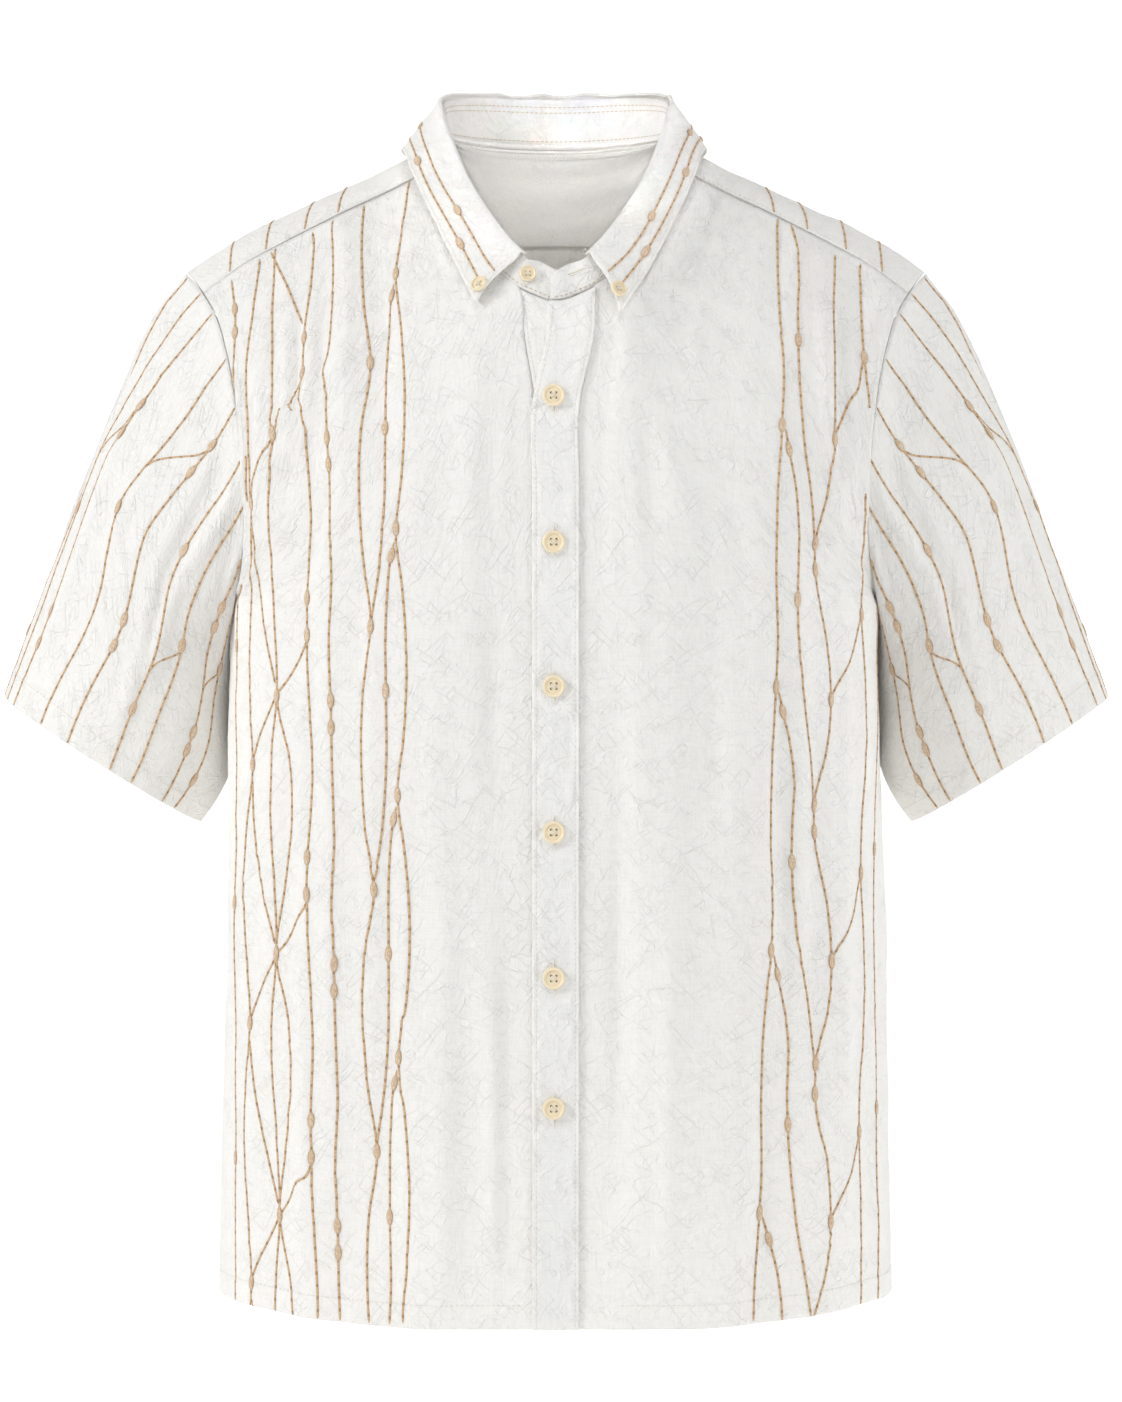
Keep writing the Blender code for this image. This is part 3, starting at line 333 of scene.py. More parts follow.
# Embroidery charts: each strand has its drift in x with every repeat, whether it runs on
# from repeat to repeat, the height where it starts (nought for the yoke seam), how many
# repeats it has, its points in one repeat as x and z, and the heights of its seeds
STRANDS_RIGHT = (
    (-0.0014, True, 0.0, 5,
     ((0.0995, -0.097), (0.0955, -0.135), (0.0928, -0.180), (0.0945, -0.225)), (-0.097,)),
    (-0.0014, False, 0.0, 4,
     ((0.1005, -0.105), (0.1035, -0.118), (0.1055, -0.140), (0.1062, -0.196), (0.1060, -0.240),
      (0.1085, -0.280), (0.1138, -0.317)), (-0.113, -0.196)),
    (-0.0016, True, 0.0, 5,
     ((0.1155, -0.156), (0.1210, -0.200), (0.1218, -0.236), (0.1190, -0.280)), (-0.156,)),
    (-0.0019, True, 0.0, 5,
     ((0.1412, -0.203), (0.1405, -0.240), (0.1390, -0.290), (0.1405, -0.330)),
     (-0.203, -0.219)),
    (-0.0020, True, 0.0, 5, ((0.1575, -0.138), (0.1560, -0.200), (0.1535, -0.250)),
     (-0.138, -0.161)),
    (-0.0015, True, 0.0, 5,
     ((0.1760, -0.199), (0.1785, -0.235), (0.1790, -0.270), (0.1765, -0.315)), (-0.199,)),
    (-0.0015, True, -0.362, 5,
     ((0.1760, -0.199), (0.1680, -0.240), (0.1660, -0.275), (0.1700, -0.320)), ()),
    ((-0.0020, -0.0015), False, 0.0, 4,
     ((0.1555, -0.161), (0.1615, -0.176), (0.1690, -0.189), (0.1755, -0.198)), ()),
    ((-0.0015, -0.0002), False, 0.0, 4,
     ((0.1760, -0.199), (0.1805, -0.211), (0.1865, -0.227), (0.1900, -0.240)), ()),
    (-0.0002, True, 0.0, 5,
     ((0.1900, -0.242), (0.1925, -0.285), (0.1932, -0.330), (0.1915, -0.370)), (-0.242,)),
    ((-0.0002, -0.0015), False, 0.0, 4,
     ((0.1902, -0.252), (0.1880, -0.288), (0.1820, -0.325), (0.1755, -0.355)), ()),
    (0.0000, True, -0.290, 5,
     ((0.2010, -0.300), (0.2022, -0.350), (0.2012, -0.410)), (-0.330,)),
    (0.0000, False, 0.0, 1,
     ((0.2085, -0.096), (0.2050, -0.118), (0.2035, -0.140), (0.1990, -0.180), (0.1955, -0.240)),
     (-0.116, -0.132, -0.160)),
    (0.0000, False, 0.0, 1, ((0.1830, -0.078), (0.1700, -0.104), (0.1600, -0.128)), ()),
)
STRANDS_LEFT = (
    (-0.0045, True, 0.0, 5,
     ((0.1400, -0.194), (0.1368, -0.240), (0.1358, -0.290), (0.1368, -0.330)), (-0.194,)),
    ((-0.0045, -0.0008), False, 0.0, 5,
     ((0.1466, -0.0344), (0.1485, -0.0474), (0.1526, -0.0704), (0.1537, -0.0952),
      (0.1520, -0.1200), (0.1512, -0.1398), (0.1514, -0.1634), (0.1540, -0.2006),
      (0.1586, -0.2378), (0.1612, -0.2688)), (-0.0474, -0.1398)),
    (-0.0008, True, -0.196, 5,
     ((0.1615, -0.267), (0.1615, -0.285), (0.1692, -0.332), (0.1712, -0.365), (0.1680, -0.400)),
     (-0.267, -0.285, -0.365)),
    (0.0000, False, 0.0, 1, ((0.1790, -0.080), (0.1745, -0.140), (0.1718, -0.200)), ()),
    (-0.0010, True, 0.0, 5,
     ((0.1940, -0.148), (0.1955, -0.190), (0.1952, -0.240), (0.1935, -0.280)), (-0.148,)),
    (-0.0008, False, 0.0, 4,
     ((0.1935, -0.150), (0.1870, -0.172), (0.1780, -0.190), (0.1718, -0.201)), ()),
    (0.0000, True, -0.300, 5,
     ((0.2030, -0.330), (0.2040, -0.370), (0.2035, -0.430)), (-0.460,)),
)
# Embroidery chart of a sleeve: turn at the armhole, turn at the hem, sway, first seed v, step
STEMS_SLEEVE = (
    (0.060, 0.080, 0.006, 0.36, 0.00),
    (0.120, 0.125, -0.008, 0.22, 0.07),
    (0.165, 0.175, 0.008, 0.50, 0.00),
    (0.215, 0.215, -0.008, 0.30, 0.00),
    (0.250, 0.262, 0.008, 0.12, 0.08),
    (0.300, 0.305, -0.009, 0.44, 0.00),
    (0.345, 0.350, 0.007, 0.26, 0.08),
    (0.395, 0.392, -0.006, 0.56, 0.00),
    (0.445, 0.440, 0.006, 0.34, 0.00),
    (0.555, 0.560, -0.006, 0.40, 0.00),
    (0.605, 0.608, 0.006, 0.24, 0.08),
    (0.655, 0.650, -0.007, 0.52, 0.00),
    (0.700, 0.695, 0.009, 0.30, 0.00),
    (0.750, 0.738, -0.008, 0.14, 0.08),
    (0.785, 0.785, 0.008, 0.46, 0.00),
    (0.835, 0.825, -0.008, 0.26, 0.00),
    (0.880, 0.875, 0.008, 0.40, 0.07),
    (0.940, 0.920, -0.006, 0.20, 0.00),
)
# Stems that cross the yoke on each shoulder: x in front, x behind
STEMS_YOKE = (
    (0.2100, 0.2040), (0.1850, 0.1800), (0.1600, 0.1560), (0.1400, 0.1360),
)
# Stems along the collar leaf: share of the way from the fold to the edge, seed places
STEMS_LEAF = (
    (0.34, (0.30, 0.62)),
    (0.66, (0.18, 0.47, 0.66)),
)
# Height of one repeat of the fronts and the back, and the lowest stems and seeds
REPEAT = 0.163
STEMS_END_Z = -0.7530
SEEDS_END_Z = -0.735
# Stems of a sleeve that a short link joins to the next one
SLEEVE_LINKS = (0, 2, 4, 6, 9, 11, 13, 15)
CREASE_GAIN = 2.2
SLEEVE_REPEAT = 0.52
LINK_REACH = 0.20
STEM_SAMPLES = 170
STEM_HIGH = 0.00055
SEED_LONG = 0.0112
SEED_WIDE = 0.0047
SEED_HIGH = 0.0015
STEM_STEP = 0.0021
TICK_STEP = 0.0078
PLY = 0.0011
DASH_STEP = 0.0032
DASH_LONG = 0.0024
DASH_WIDE = 0.00055
DASH_HIGH = 0.0003
SINK = 0.00015
BODY_HEM = 0.0145
SLEEVE_HEM = 0.0165
SEED = 107

# Size of the fine cells of each piece, across and down, and down at a stitched hem
CELLS = {
    "front": (0.0021, 0.0034),
    "back": (0.0024, 0.0038),
    "yoke": (0.0026, 0.0030),
    "sleeve": (0.0026, 0.0032),
    "stand": (0.0022, 0.0016),
    "leaf": (0.0022, 0.0020),
    "tape": (0.0025, 0.0020),
    "placket": (0.0009, 0.0022),
}
HEM_CELL = 0.0015
SLEEVE_HEM_CELL = 0.0016

# Rows and columns of the grids as the solids have them, which stitching is placed by
BAND_ROWS = SIDE_ROWS + ARM_ROWS - NECK_COLUMNS
YOKE_COLUMNS = FRONT_COLUMNS * 2 + NECK_COLUMNS * 2 + 4
HEM_ROW = BODY_HEM / 0.0370
CUFF_ROW = SLEEVE_ROWS - SLEEVE_HEM / 0.0290
# White topstitching along a row: piece, row, first and last column
WHITE_ROWS = (
    ("front_right", HEM_ROW, 0.3, FRONT_COLUMNS - 0.05),
    ("front_left", HEM_ROW, 0.9, FRONT_COLUMNS - 0.05),
    ("back", HEM_ROW, 0.05, BACK_COLUMNS - 0.05),
    ("sleeve_right", CUFF_ROW, 0.0, 23.0),
    ("sleeve_left", CUFF_ROW, 0.0, 23.0),
    ("yoke", 0.10, 0.15, FRONT_COLUMNS - 0.2),
    ("yoke", 0.10, YOKE_COLUMNS - FRONT_COLUMNS + 0.2, YOKE_COLUMNS - 0.15),
    ("yoke", YOKE_ROWS - 0.08, 0.1, YOKE_COLUMNS - 0.1),
    ("collar_leaf", 5.62, 0.35, 31.65),
)
# White topstitching along a column: piece, column, first and last row
WHITE_COLUMNS = (
    ("placket_upper", 0.26, 0.03, BAND_ROWS - 0.05),
    ("placket_under", 0.26, 8.0, BAND_ROWS - 0.1),
    ("placket_upper", 2.74, 0.03, BAND_ROWS - 0.05),
    ("placket_under", 2.74, 8.0, BAND_ROWS - 0.1),
    ("collar_leaf", 0.42, 2.2, 5.6),
    ("collar_leaf", 31.58, 2.2, 5.6),
)
# Tan topstitching inside the collar stand, as rows
TAN_ROWS = (2.55, 2.20, 0.42)

# Fine grids made so far, by node name, with their normals
grids = {}

# Camera as the photograph was taken: level, from the front
SENSOR = 36.0
CAMERA_AWAY = 2.6
VIEW_HEIGHT = 0.9113
CAMERA_X = 0.00325
CAMERA_Z = -0.366

# Studio: name, place, aim, size, power, spread in degrees, colour
BODY = (0.0, 0.0, -0.36)
LIGHTS = (
    ("key", (-2.6, -1.45, 1.0), BODY, (0.9, 1.1), 55.0, 180.0, (1.0, 0.995, 0.985)),
    ("fill", (2.6, -1.7, 0.4), BODY, (1.3, 1.5), 21.0, 180.0, (0.99, 0.995, 1.0)),
    ("side", (2.9, -0.15, 0.3), BODY, (0.9, 1.3), 16.0, 180.0, (1.0, 1.0, 1.0)),
    ("top", (0.0, -1.5, 2.3), BODY, (1.6, 0.8), 27.0, 180.0, (1.0, 1.0, 1.0)),
    ("behind", (0.0, 1.9, 0.6), BODY, (1.8, 1.2), 14.0, 180.0, (1.0, 0.99, 0.97)),
    ("neck", (0.0, -1.5, -0.20), (0.0, 0.10, 0.00), (0.16, 0.02), 0.035, 6.0, (1.0, 0.99, 0.98)),
)
# The room looks paler to the camera than the light it gives the shirt
WORLD_LIGHT = 0.14
WORLD_SEEN = 0.82
PAPER_SEEN = 0.40
BACKDROP_GLOW = 0.43
FLOOR_Z = -1.20
BACK_Y = 5.2
BEND = 2.4
BEND_STEPS = 12
PAPER_HALF = 6.5
PAPER_FRONT_Y = -9.0
PAPER_TOP_Z = 4.4


def through(table, at, column=1):
    """Read a table with a smooth curve through its rows."""
    rows = np.asarray(table, dtype=float)
    keys = rows[:, 0]
    values = rows[:, column]
    slopes = np.gradient(values, keys)
    at = np.clip(np.asarray(at, dtype=float), keys[0], keys[-1])
    low = np.clip(np.searchsorted(keys, at, side="right") - 1, 0, len(keys) - 2)
    step = keys[low + 1] - keys[low]
    t = (at - keys[low]) / step
    start = (1 + 2 * t) * (1 - t) ** 2 * values[low]
    start = start + t * (1 - t) ** 2 * step * slopes[low]
    end = t * t * (3 - 2 * t) * values[low + 1]
    return start + end + t * t * (t - 1) * step * slopes[low + 1]


def ease(low, high, value):
    """Rise smoothly from nought at low to one at high."""
    t = np.clip((np.asarray(value, dtype=float) - low) / (high - low), 0.0, 1.0)
    return t * t * (3 - 2 * t)


def arch(drop, shape):
    """Share of the full depth at a given drop below the shoulder line."""
    reach, power = shape
    t = np.clip(drop / reach, 0.0, 1.0)
    return (1 - (1 - t) ** 2) ** power


def body_y(x, z, face):
    """Depth of the body surface; face is -1 at the front and +1 at the back."""
    ratio = np.clip(np.abs(x) / through(HALF_WIDTH, z), 0.0, 1.0)
    round_off = (1 - ratio ** SIDE_POWER) ** (1 / SIDE_POWER)
    drop = through(SHOULDER_LINE, np.abs(x)) - z
    if face < 0:
        return -through(BODY_DEPTH, z, 1) * round_off * arch(drop, FRONT_ARCH)
    return through(BODY_DEPTH, z, 2) * round_off * arch(drop, BACK_ARCH)


def turn_of(x, z):
    """Share of the quarter turn from the centre to the side at this x."""
    ratio = np.clip(np.abs(x) / through(HALF_WIDTH, z), 0.0, 1.0)
    return np.sign(x) * np.arcsin(ratio ** (SIDE_POWER / 2)) * 2 / math.pi


def turned(points):
    """Places given as x and z, as their share of the quarter turn and z."""
    return np.column_stack([turn_of(points[:, 0], points[:, 1]), points[:, 1]])


def on_body(points, face):
    """Points of the body from their x and z."""
    x, z = points.T
    return np.stack([x, body_y(x, z, face), z], axis=-1)


def body_point(turn, z, face):
    """Point of the body from its share of the quarter turn and its height."""
    angle = np.clip(np.abs(turn), 0.0, 1.0) * math.pi / 2
    x = np.sign(turn) * through(HALF_WIDTH, z) * np.sin(angle) ** (2 / SIDE_POWER)
    return np.stack([x, body_y(x, z, face), z + 0 * x], axis=-1)


def yoke_point(x, q):
    """Point of the yoke; q is negative in front of the shoulder line."""
    z = through(SHOULDER_LINE, np.abs(x)) - RIDGE_DROP * q * q
    y = np.where(q < 0, body_y(x, z, -1), body_y(x, z, 1))
    return np.stack([x, y, z], axis=-1)


def front_seam_z(x):
    """Height of the front yoke seam."""
    x = np.abs(x)
    return through(SHOULDER_LINE, x) - through(FRONT_YOKE_DROP, x)


def back_seam_z(x):
    """Height of the back yoke seam, falling gently to the armholes."""
    centre, fall, reach = BACK_YOKE
    return centre - fall * (np.abs(x) / reach) ** 2


def ridge_q(x, z):
    """Yoke coordinate of a place behind the shoulder line."""
    drop = through(SHOULDER_LINE, np.abs(x)) - z
    return np.sqrt(np.maximum(drop, 0.0) / RIDGE_DROP)


def armhole(table, seam):
    """Armhole as x and z, with its last point set on the yoke seam."""
    points = np.asarray(table, dtype=float).copy()
    points[-1, 1] = float(seam(points[-1, 0]))
    return points


def hem_z(turn):
    """Height of the body hem, a little higher towards the side seams."""
    return HEM_Z + HEM_RISE * ease(0.15, 0.75, np.abs(turn))


def patch(low, high, left, right, pivot=0):
    """Fill a patch between four edge curves given in two coordinates.

    The bow of the low edge is spent by the pivot row and the bow of the high
    edge grows from there.
    """
    last = len(left) - 1
    s = np.linspace(0, 1, len(low))[None, :, None]
    row = np.arange(last + 1)[:, None, None]
    keep_low = np.clip(1 - row / (pivot if pivot else last), 0.0, 1.0)
    keep_high = np.clip((row - pivot) / (last - pivot), 0.0, 1.0)
    if pivot:
        keep_high = keep_high ** 1.5
    across = (1 - s) * left[:, None, :] + s * right[:, None, :]
    low_bow = low[None] - (1 - s) * low[0] - s * low[-1]
    high_bow = high[None] - (1 - s) * high[0] - s * high[-1]
    return across + keep_low * low_bow + keep_high * high_bow


def normals(grid, closed=False):
    """Unit normals of a grid of points."""
    down = np.gradient(grid, axis=0)
    if closed:
        side = np.roll(grid, -1, axis=1) - np.roll(grid, 1, axis=1)
    else:
        side = np.gradient(grid, axis=1)
    out = np.cross(side, down)
    return out / np.maximum(np.linalg.norm(out, axis=-1, keepdims=True), 1e-12)


def outward(grid, closed=False):
    """Normals turned away from the middle of the grid's rows."""
    out = normals(grid, closed)
    centre = np.array([0.0, 0.0, 0.0])
    if closed:
        centre = grid.mean(axis=1, keepdims=True)
    reach = (grid - centre) * np.array([1.0, 1.0, 0.25])
    return out if np.sum(out * reach) > 0 else -out


def inset(grid, low=0.0, high=0.0, left=0.0, right=0.0):
    """Draw the four edges of a grid back by the given distances."""
    grid = grid.copy()

    def shift(edge, inner, distance):
        """Move one edge towards the row beside it."""
        away = inner - edge
        length = np.linalg.norm(away, axis=-1, keepdims=True)
        return edge + away / np.maximum(length, 1e-9) * distance

    grid[0] = shift(grid[0], grid[1], low)
    grid[-1] = shift(grid[-1], grid[-2], high)
    grid[:, 0] = shift(grid[:, 0], grid[:, 1], left)
    grid[:, -1] = shift(grid[:, -1], grid[:, -2], right)
    return grid


def segment_fold(x, z, row):
    """Height of one soft ridge that runs along a line and fades at its ends."""
    x0, z0, x1, z1, width, height = row
    length = math.hypot(x1 - x0, z1 - z0)
    along = ((x - x0) * (x1 - x0) + (z - z0) * (z1 - z0)) / length ** 2
    across = ((x - x0) * (z1 - z0) - (z - z0) * (x1 - x0)) / length
    fade = ease(-0.15, 0.30, along) * ease(1.15, 0.85, along)
    return height * fade * np.exp(-(across / width) ** 2)


def fold_heights(grid, folds, mirror=1.0):
    """Sum of the folds at each point of a grid."""
    total = np.zeros(grid.shape[:2])
    for row in folds:
        total = total + segment_fold(grid[..., 0] * mirror, grid[..., 2], row)
    return total


def edge_window(shape, left, right, high):
    """Fade that brings folds to nought at the sewn edges."""
    rows, columns = shape
    s = np.linspace(0, 1, columns)[None, :]
    t = np.linspace(0, 1, rows)[:, None]
    return ease(0, left, s) * ease(0, right, 1 - s) * ease(0, high, 1 - t)


def band_shift(z):
    """Sideways shift of the upper placket where the neck stands open."""
    return BAND_TOP_SHIFT * ease(-0.178, -0.128, z)


def under_shift(z):
    """Sideways shift of the under placket where the neck stands open."""
    return 0.0100 * ease(-0.192, -0.112, z)


def front_edge_x(z, side):
    """Inner edge of a front; side is -1 for the wearer's right."""
    if side < 0:
        return -(BAND_HALF - BAND_LAP) - under_shift(z)
    return BAND_HALF - BAND_LAP + band_shift(z)


def spread(table, count):
    """Even samples along a curve through the rows of a table of two columns."""
    rows = np.asarray(table, dtype=float)
    steps = np.linalg.norm(np.diff(rows, axis=0), axis=1)
    keys = np.concatenate([[0.0], np.cumsum(steps)])
    keyed = np.column_stack([keys, rows])
    at = np.linspace(0, keys[-1], count)
    return np.stack([through(keyed, at, 1), through(keyed, at, 2)], axis=-1)


def front_rows(top_z):
    """Heights of the rows down the centre front."""
    low = np.linspace(float(hem_z(0.0)), EDGE_TOP_Z, SIDE_ROWS + 1)[:-1]
    share = np.linspace(0, 1, ARM_ROWS - NECK_COLUMNS + 1)
    high = EDGE_TOP_Z + (top_z - EDGE_TOP_Z) * (1.45 * share - 0.45 * share ** 2)
    return np.concatenate([low, high])


def front_neck_curve(side):
    """Front neckline from the front edge to the yoke seam, as x and z."""
    rows = np.asarray(FRONT_NECK)
    start = abs(float(front_edge_x(-0.112, side)))
    start_z = float(through(rows, start))
    kept = rows[rows[:, 0] > start + 0.004]
    points = spread(np.vstack([[start, start_z], kept]), NECK_COLUMNS + 1)
    return points * np.array([side, 1.0])


def yoke_seam_x(side):
    """Even steps along the front yoke seam, from the neck to the shoulder."""
    return side * np.linspace(NECK_X, FRONT_TOP_X, FRONT_COLUMNS + 1)


def front_panel(side):
    """Surface of one front, hem to yoke seam, front edge to side seam."""
    top_x = yoke_seam_x(side)
    top_z = front_seam_z(top_x)
    neck = front_neck_curve(side)
    edge_z = front_rows(neck[0, 1])[:-1]
    edge_x = front_edge_x(edge_z, side)
    edge = np.vstack([np.column_stack([edge_x, edge_z]), neck])
    side_z = np.linspace(float(hem_z(1.0)), UNDERARM_Z, SIDE_ROWS + 1)[:-1]
    side_x = side * through(HALF_WIDTH, side_z)
    arm = armhole(FRONT_ARMHOLE, front_seam_z) * np.array([side, 1.0])
    outer = np.vstack([np.column_stack([side_x, side_z]), arm])
    left = turned(edge)
    right = turned(outer)
    high = np.column_stack([turn_of(top_x, top_z), top_z])
    low_turn = np.linspace(left[0, 0], side * 1.0, FRONT_COLUMNS + 1)
    low = np.column_stack([low_turn, hem_z(low_turn)])
    low[0] = left[0]
    low[-1] = right[0]
    place = patch(low, high, left, right, SIDE_ROWS)
    return body_point(place[..., 0], place[..., 1], -1)


def back_panel():
    """Surface of the back, hem to yoke seam, side seam to side seam."""
    side_z = np.linspace(float(hem_z(1.0)), UNDERARM_Z, SIDE_ROWS + 1)[:-1]
    side_x = through(HALF_WIDTH, side_z)
    arm = armhole(BACK_ARMHOLE, back_seam_z)
    outer = np.vstack([np.column_stack([side_x, side_z]), arm])
    right = turned(outer)
    left = right * np.array([-1.0, 1.0])
    top_x = np.linspace(-BACK_TOP_X, BACK_TOP_X, BACK_COLUMNS + 1)
    top_z = back_seam_z(top_x)
    high = np.column_stack([turn_of(top_x, top_z), top_z])
    low_turn = np.linspace(-1, 1, BACK_COLUMNS + 1)
    low = np.column_stack([low_turn, hem_z(low_turn)])
    high[0] = left[-1]
    high[-1] = right[-1]
    place = patch(low, high, left, right, SIDE_ROWS)
    return body_point(place[..., 0], place[..., 1], 1)


def yoke_neck_curve():
    """Neckline across the yoke, wearer's right to left, as x and q."""
    half = spread(YOKE_NECK, NECK_COLUMNS + 2)
    right = half * np.array([-1.0, 1.0])
    return np.vstack([right, half[::-1][1:]])


def yoke_panel():
    """Surface of the yoke, from the front seams and neck to the back seam."""
    seam_x = yoke_seam_x(1)[::-1]
    drop = through(FRONT_YOKE_DROP, seam_x)
    seam = np.column_stack([-seam_x, -np.sqrt(drop / RIDGE_DROP)])
    neck = yoke_neck_curve()
    mirrored = seam[::-1] * np.array([-1.0, 1.0])
    low = np.vstack([seam, neck[1:-1], mirrored])
    across = np.linspace(-BACK_TOP_X, -BACK_NECK_X, len(seam))
    middle = np.linspace(-BACK_NECK_X, BACK_NECK_X, len(neck))[1:-1]
    back_x = np.concatenate([across, middle, -across[::-1]])
    high = np.column_stack([back_x, ridge_q(back_x, back_seam_z(back_x))])
    end = np.asarray(YOKE_END, dtype=float)
    end[0, 0] = low[-1, 1]
    end[-1, 0] = high[-1, 1]
    right = end[:, ::-1]
    right = np.vstack([low[-1], spread(right, YOKE_ROWS + 1)[1:-1], high[-1]])
    left = right * np.array([-1.0, 1.0])
    place = patch(low, high, left, right)
    return yoke_point(place[..., 0], place[..., 1])


def armhole_loop(side, yoke):
    """Points round one armhole, from the underarm forward and over."""
    front = armhole(FRONT_ARMHOLE, front_seam_z) * np.array([side, 1.0])
    back = armhole(BACK_ARMHOLE, back_seam_z) * np.array([side, 1.0])
    shoulder = yoke[:, 0] if side < 0 else yoke[:, -1]
    return np.vstack([on_body(front, -1), shoulder[1:-1], on_body(back, 1)[::-1][:-1]])


def sleeve_panel(side, yoke, rows=SLEEVE_ROWS):
    """Surface of one sleeve, armhole to hem, round from the underarm."""
    loop = armhole_loop(side, yoke) * np.array([side, 1.0, 1.0])
    v = np.linspace(0, 1, rows + 1)
    top = np.stack([through(SLEEVE_LINE, v, 1), through(SLEEVE_LINE, v, 2)], axis=-1)
    low = np.stack([through(SLEEVE_LINE, v, 3), through(SLEEVE_LINE, v, 4)], axis=-1)
    middle_y = through(SLEEVE_LINE, v, 5)
    depth = through(SLEEVE_LINE, v, 6)
    centre = (top + low) / 2
    half = (top - low) / 2
    size = np.linalg.norm(half, axis=1)
    toward = half / size[:, None]
    rest = np.stack([loop[:, 0], loop[:, 2]], axis=-1) - centre[0]
    along = rest @ toward[0] / size[0]
    aside = (loop[:, 1] - middle_y[0]) / depth[0]
    angle = np.arctan2(aside, along)
    rounded = np.stack([np.cos(angle), np.sin(angle)], axis=-1)
    across = centre[:, None, :] + half[:, None, :] * rounded[None, :, :1]
    y = middle_y[:, None] + depth[:, None] * rounded[None, :, 1]
    grid = np.stack([across[..., 0], y, across[..., 1]], axis=-1)
    lift = (1 - ease(0, 0.45, v))[:, None, None]
    grid = grid + (loop - grid[0])[None] * lift
    grid[1:] = clear_of_body(grid[1:], 0.0012)
    return grid * np.array([side, 1.0, 1.0])


def clear_of_body(grid, clearance):
    """Move the points of a sleeve off the side of the body where too close."""
    grid = grid.copy()
    width = through(HALF_WIDTH, grid[..., 2])
    depth = through(BODY_DEPTH, grid[..., 2], 2)
    depth = np.where(grid[..., 1] < 0, through(BODY_DEPTH, grid[..., 2], 1), depth)
    aside = np.clip(np.abs(grid[..., 1]) / depth, 0.0, 1.0)
    least = width * (1 - aside ** SIDE_POWER) ** (1 / SIDE_POWER) + clearance
    beside = grid[..., 2] < -0.280
    grid[..., 0] = np.where(beside, np.maximum(grid[..., 0], least), grid[..., 0])
    return grid


def lift_off(points, grid, clearance):
    """Move points out until they clear a sheet by the given distance."""
    out = outward(grid).reshape(-1, 3)
    flat = grid.reshape(-1, 3)
    moved = points.reshape(-1, 3).copy()
    for index, point in enumerate(moved):
        away = np.sum((flat - point) ** 2, axis=1)
        near = np.argmin(away)
        gap = np.dot(point - flat[near], out[near])
        if gap < clearance and away[near] < 0.0006:
            moved[index] = point + out[near] * (clearance - gap)
    return moved.reshape(points.shape)


def sleeve_folds(grid, mirror):
    """Long soft folds of a sleeve, none at the armhole seam."""
    rows, columns = grid.shape[:2]
    turn = np.arange(columns)[None, :] / columns
    v = np.linspace(0, 1, rows)[:, None]
    total = np.zeros((rows, columns))
    for place, width, height in FOLDS_SLEEVE:
        away = np.abs(turn - (place + 0.02 * mirror * v) + 0.5) % 1.0 - 0.5
        total = total + height * np.exp(-(away / width) ** 2)
    return total * ease(0.0, 0.25, v) * (1 - 0.45 * ease(0.6, 1.0, v))


def placket_grid(side_left, side_right, z_rows, lift):
    """Strip down the centre front between two edges, raised off the fronts."""
    share = np.linspace(0, 1, 4)[None, :]
    x = side_left[:, None] * (1 - share) + side_right[:, None] * share
    z = np.repeat(z_rows[:, None], 4, axis=1)
    y = body_y(x, z, -1) - lift
    return np.stack([x, y, z], axis=-1)


def under_placket():
    """Button band of the wearer's right front, level with the fronts."""
    z = front_rows(front_neck_curve(-1)[0, 1])
    left = front_edge_x(z, -1) + SEAM_GAP
    right = left + 2 * (BAND_HALF - BAND_LAP) - 2 * SEAM_GAP
    return end_at_neck(placket_grid(left, right, z, 0.0), 0.0)


def upper_placket():
    """Buttonhole band of the wearer's left front, laid over both edges."""
    z = front_rows(front_neck_curve(1)[0, 1])
    shift = band_shift(z)
    lift = COLLAR_CLOTH + LAYER_GAP
    return end_at_neck(placket_grid(shift - BAND_HALF, shift + BAND_HALF, z, lift), lift)


def end_at_neck(grid, lift):
    """Stop the top row of a band just under the collar stand."""
    x = grid[-1, :, 0]
    z = through(FRONT_NECK, np.abs(x)) - SEAM_GAP
    grid[-1] = np.stack([x, body_y(x, z, -1) - lift, z], axis=-1)
    return grid


def neck_loop():
    """Whole neckline on the body, wearer's right front edge to left one."""
    right = on_body(front_neck_curve(-1), -1)
    left = on_body(front_neck_curve(1)[::-1], -1)
    return np.vstack([right, yoke_point(*yoke_neck_curve().T)[1:-1], left])


def stand_share(loop):
    """Share of the way from the end of the leaf to the centre back."""
    steps = np.linalg.norm(np.diff(loop, axis=0), axis=1)
    reach = np.concatenate([[0.0], np.cumsum(steps)])
    reach = reach / reach[-1]
    return 1 - np.abs(2 * reach - 1)


def stand_top_point(share, side):
    """Top of the collar stand at a share of the way to the centre back."""
    x = through(STAND_TOP, share, 1) * side
    z = through(STAND_TOP, share, 3) - 0.0025
    return np.stack([x, through(STAND_TOP, share, 2), z], axis=-1)


def leaf_edge_point(share, side):
    """Outer edge of the collar leaf at a share of the way to the back."""
    table = LEAF_EDGE_RIGHT if side < 0 else LEAF_EDGE_LEFT
    x = through(table, share, 1) * side
    return np.stack([x, through(table, share, 2), through(table, share, 3)], axis=-1)


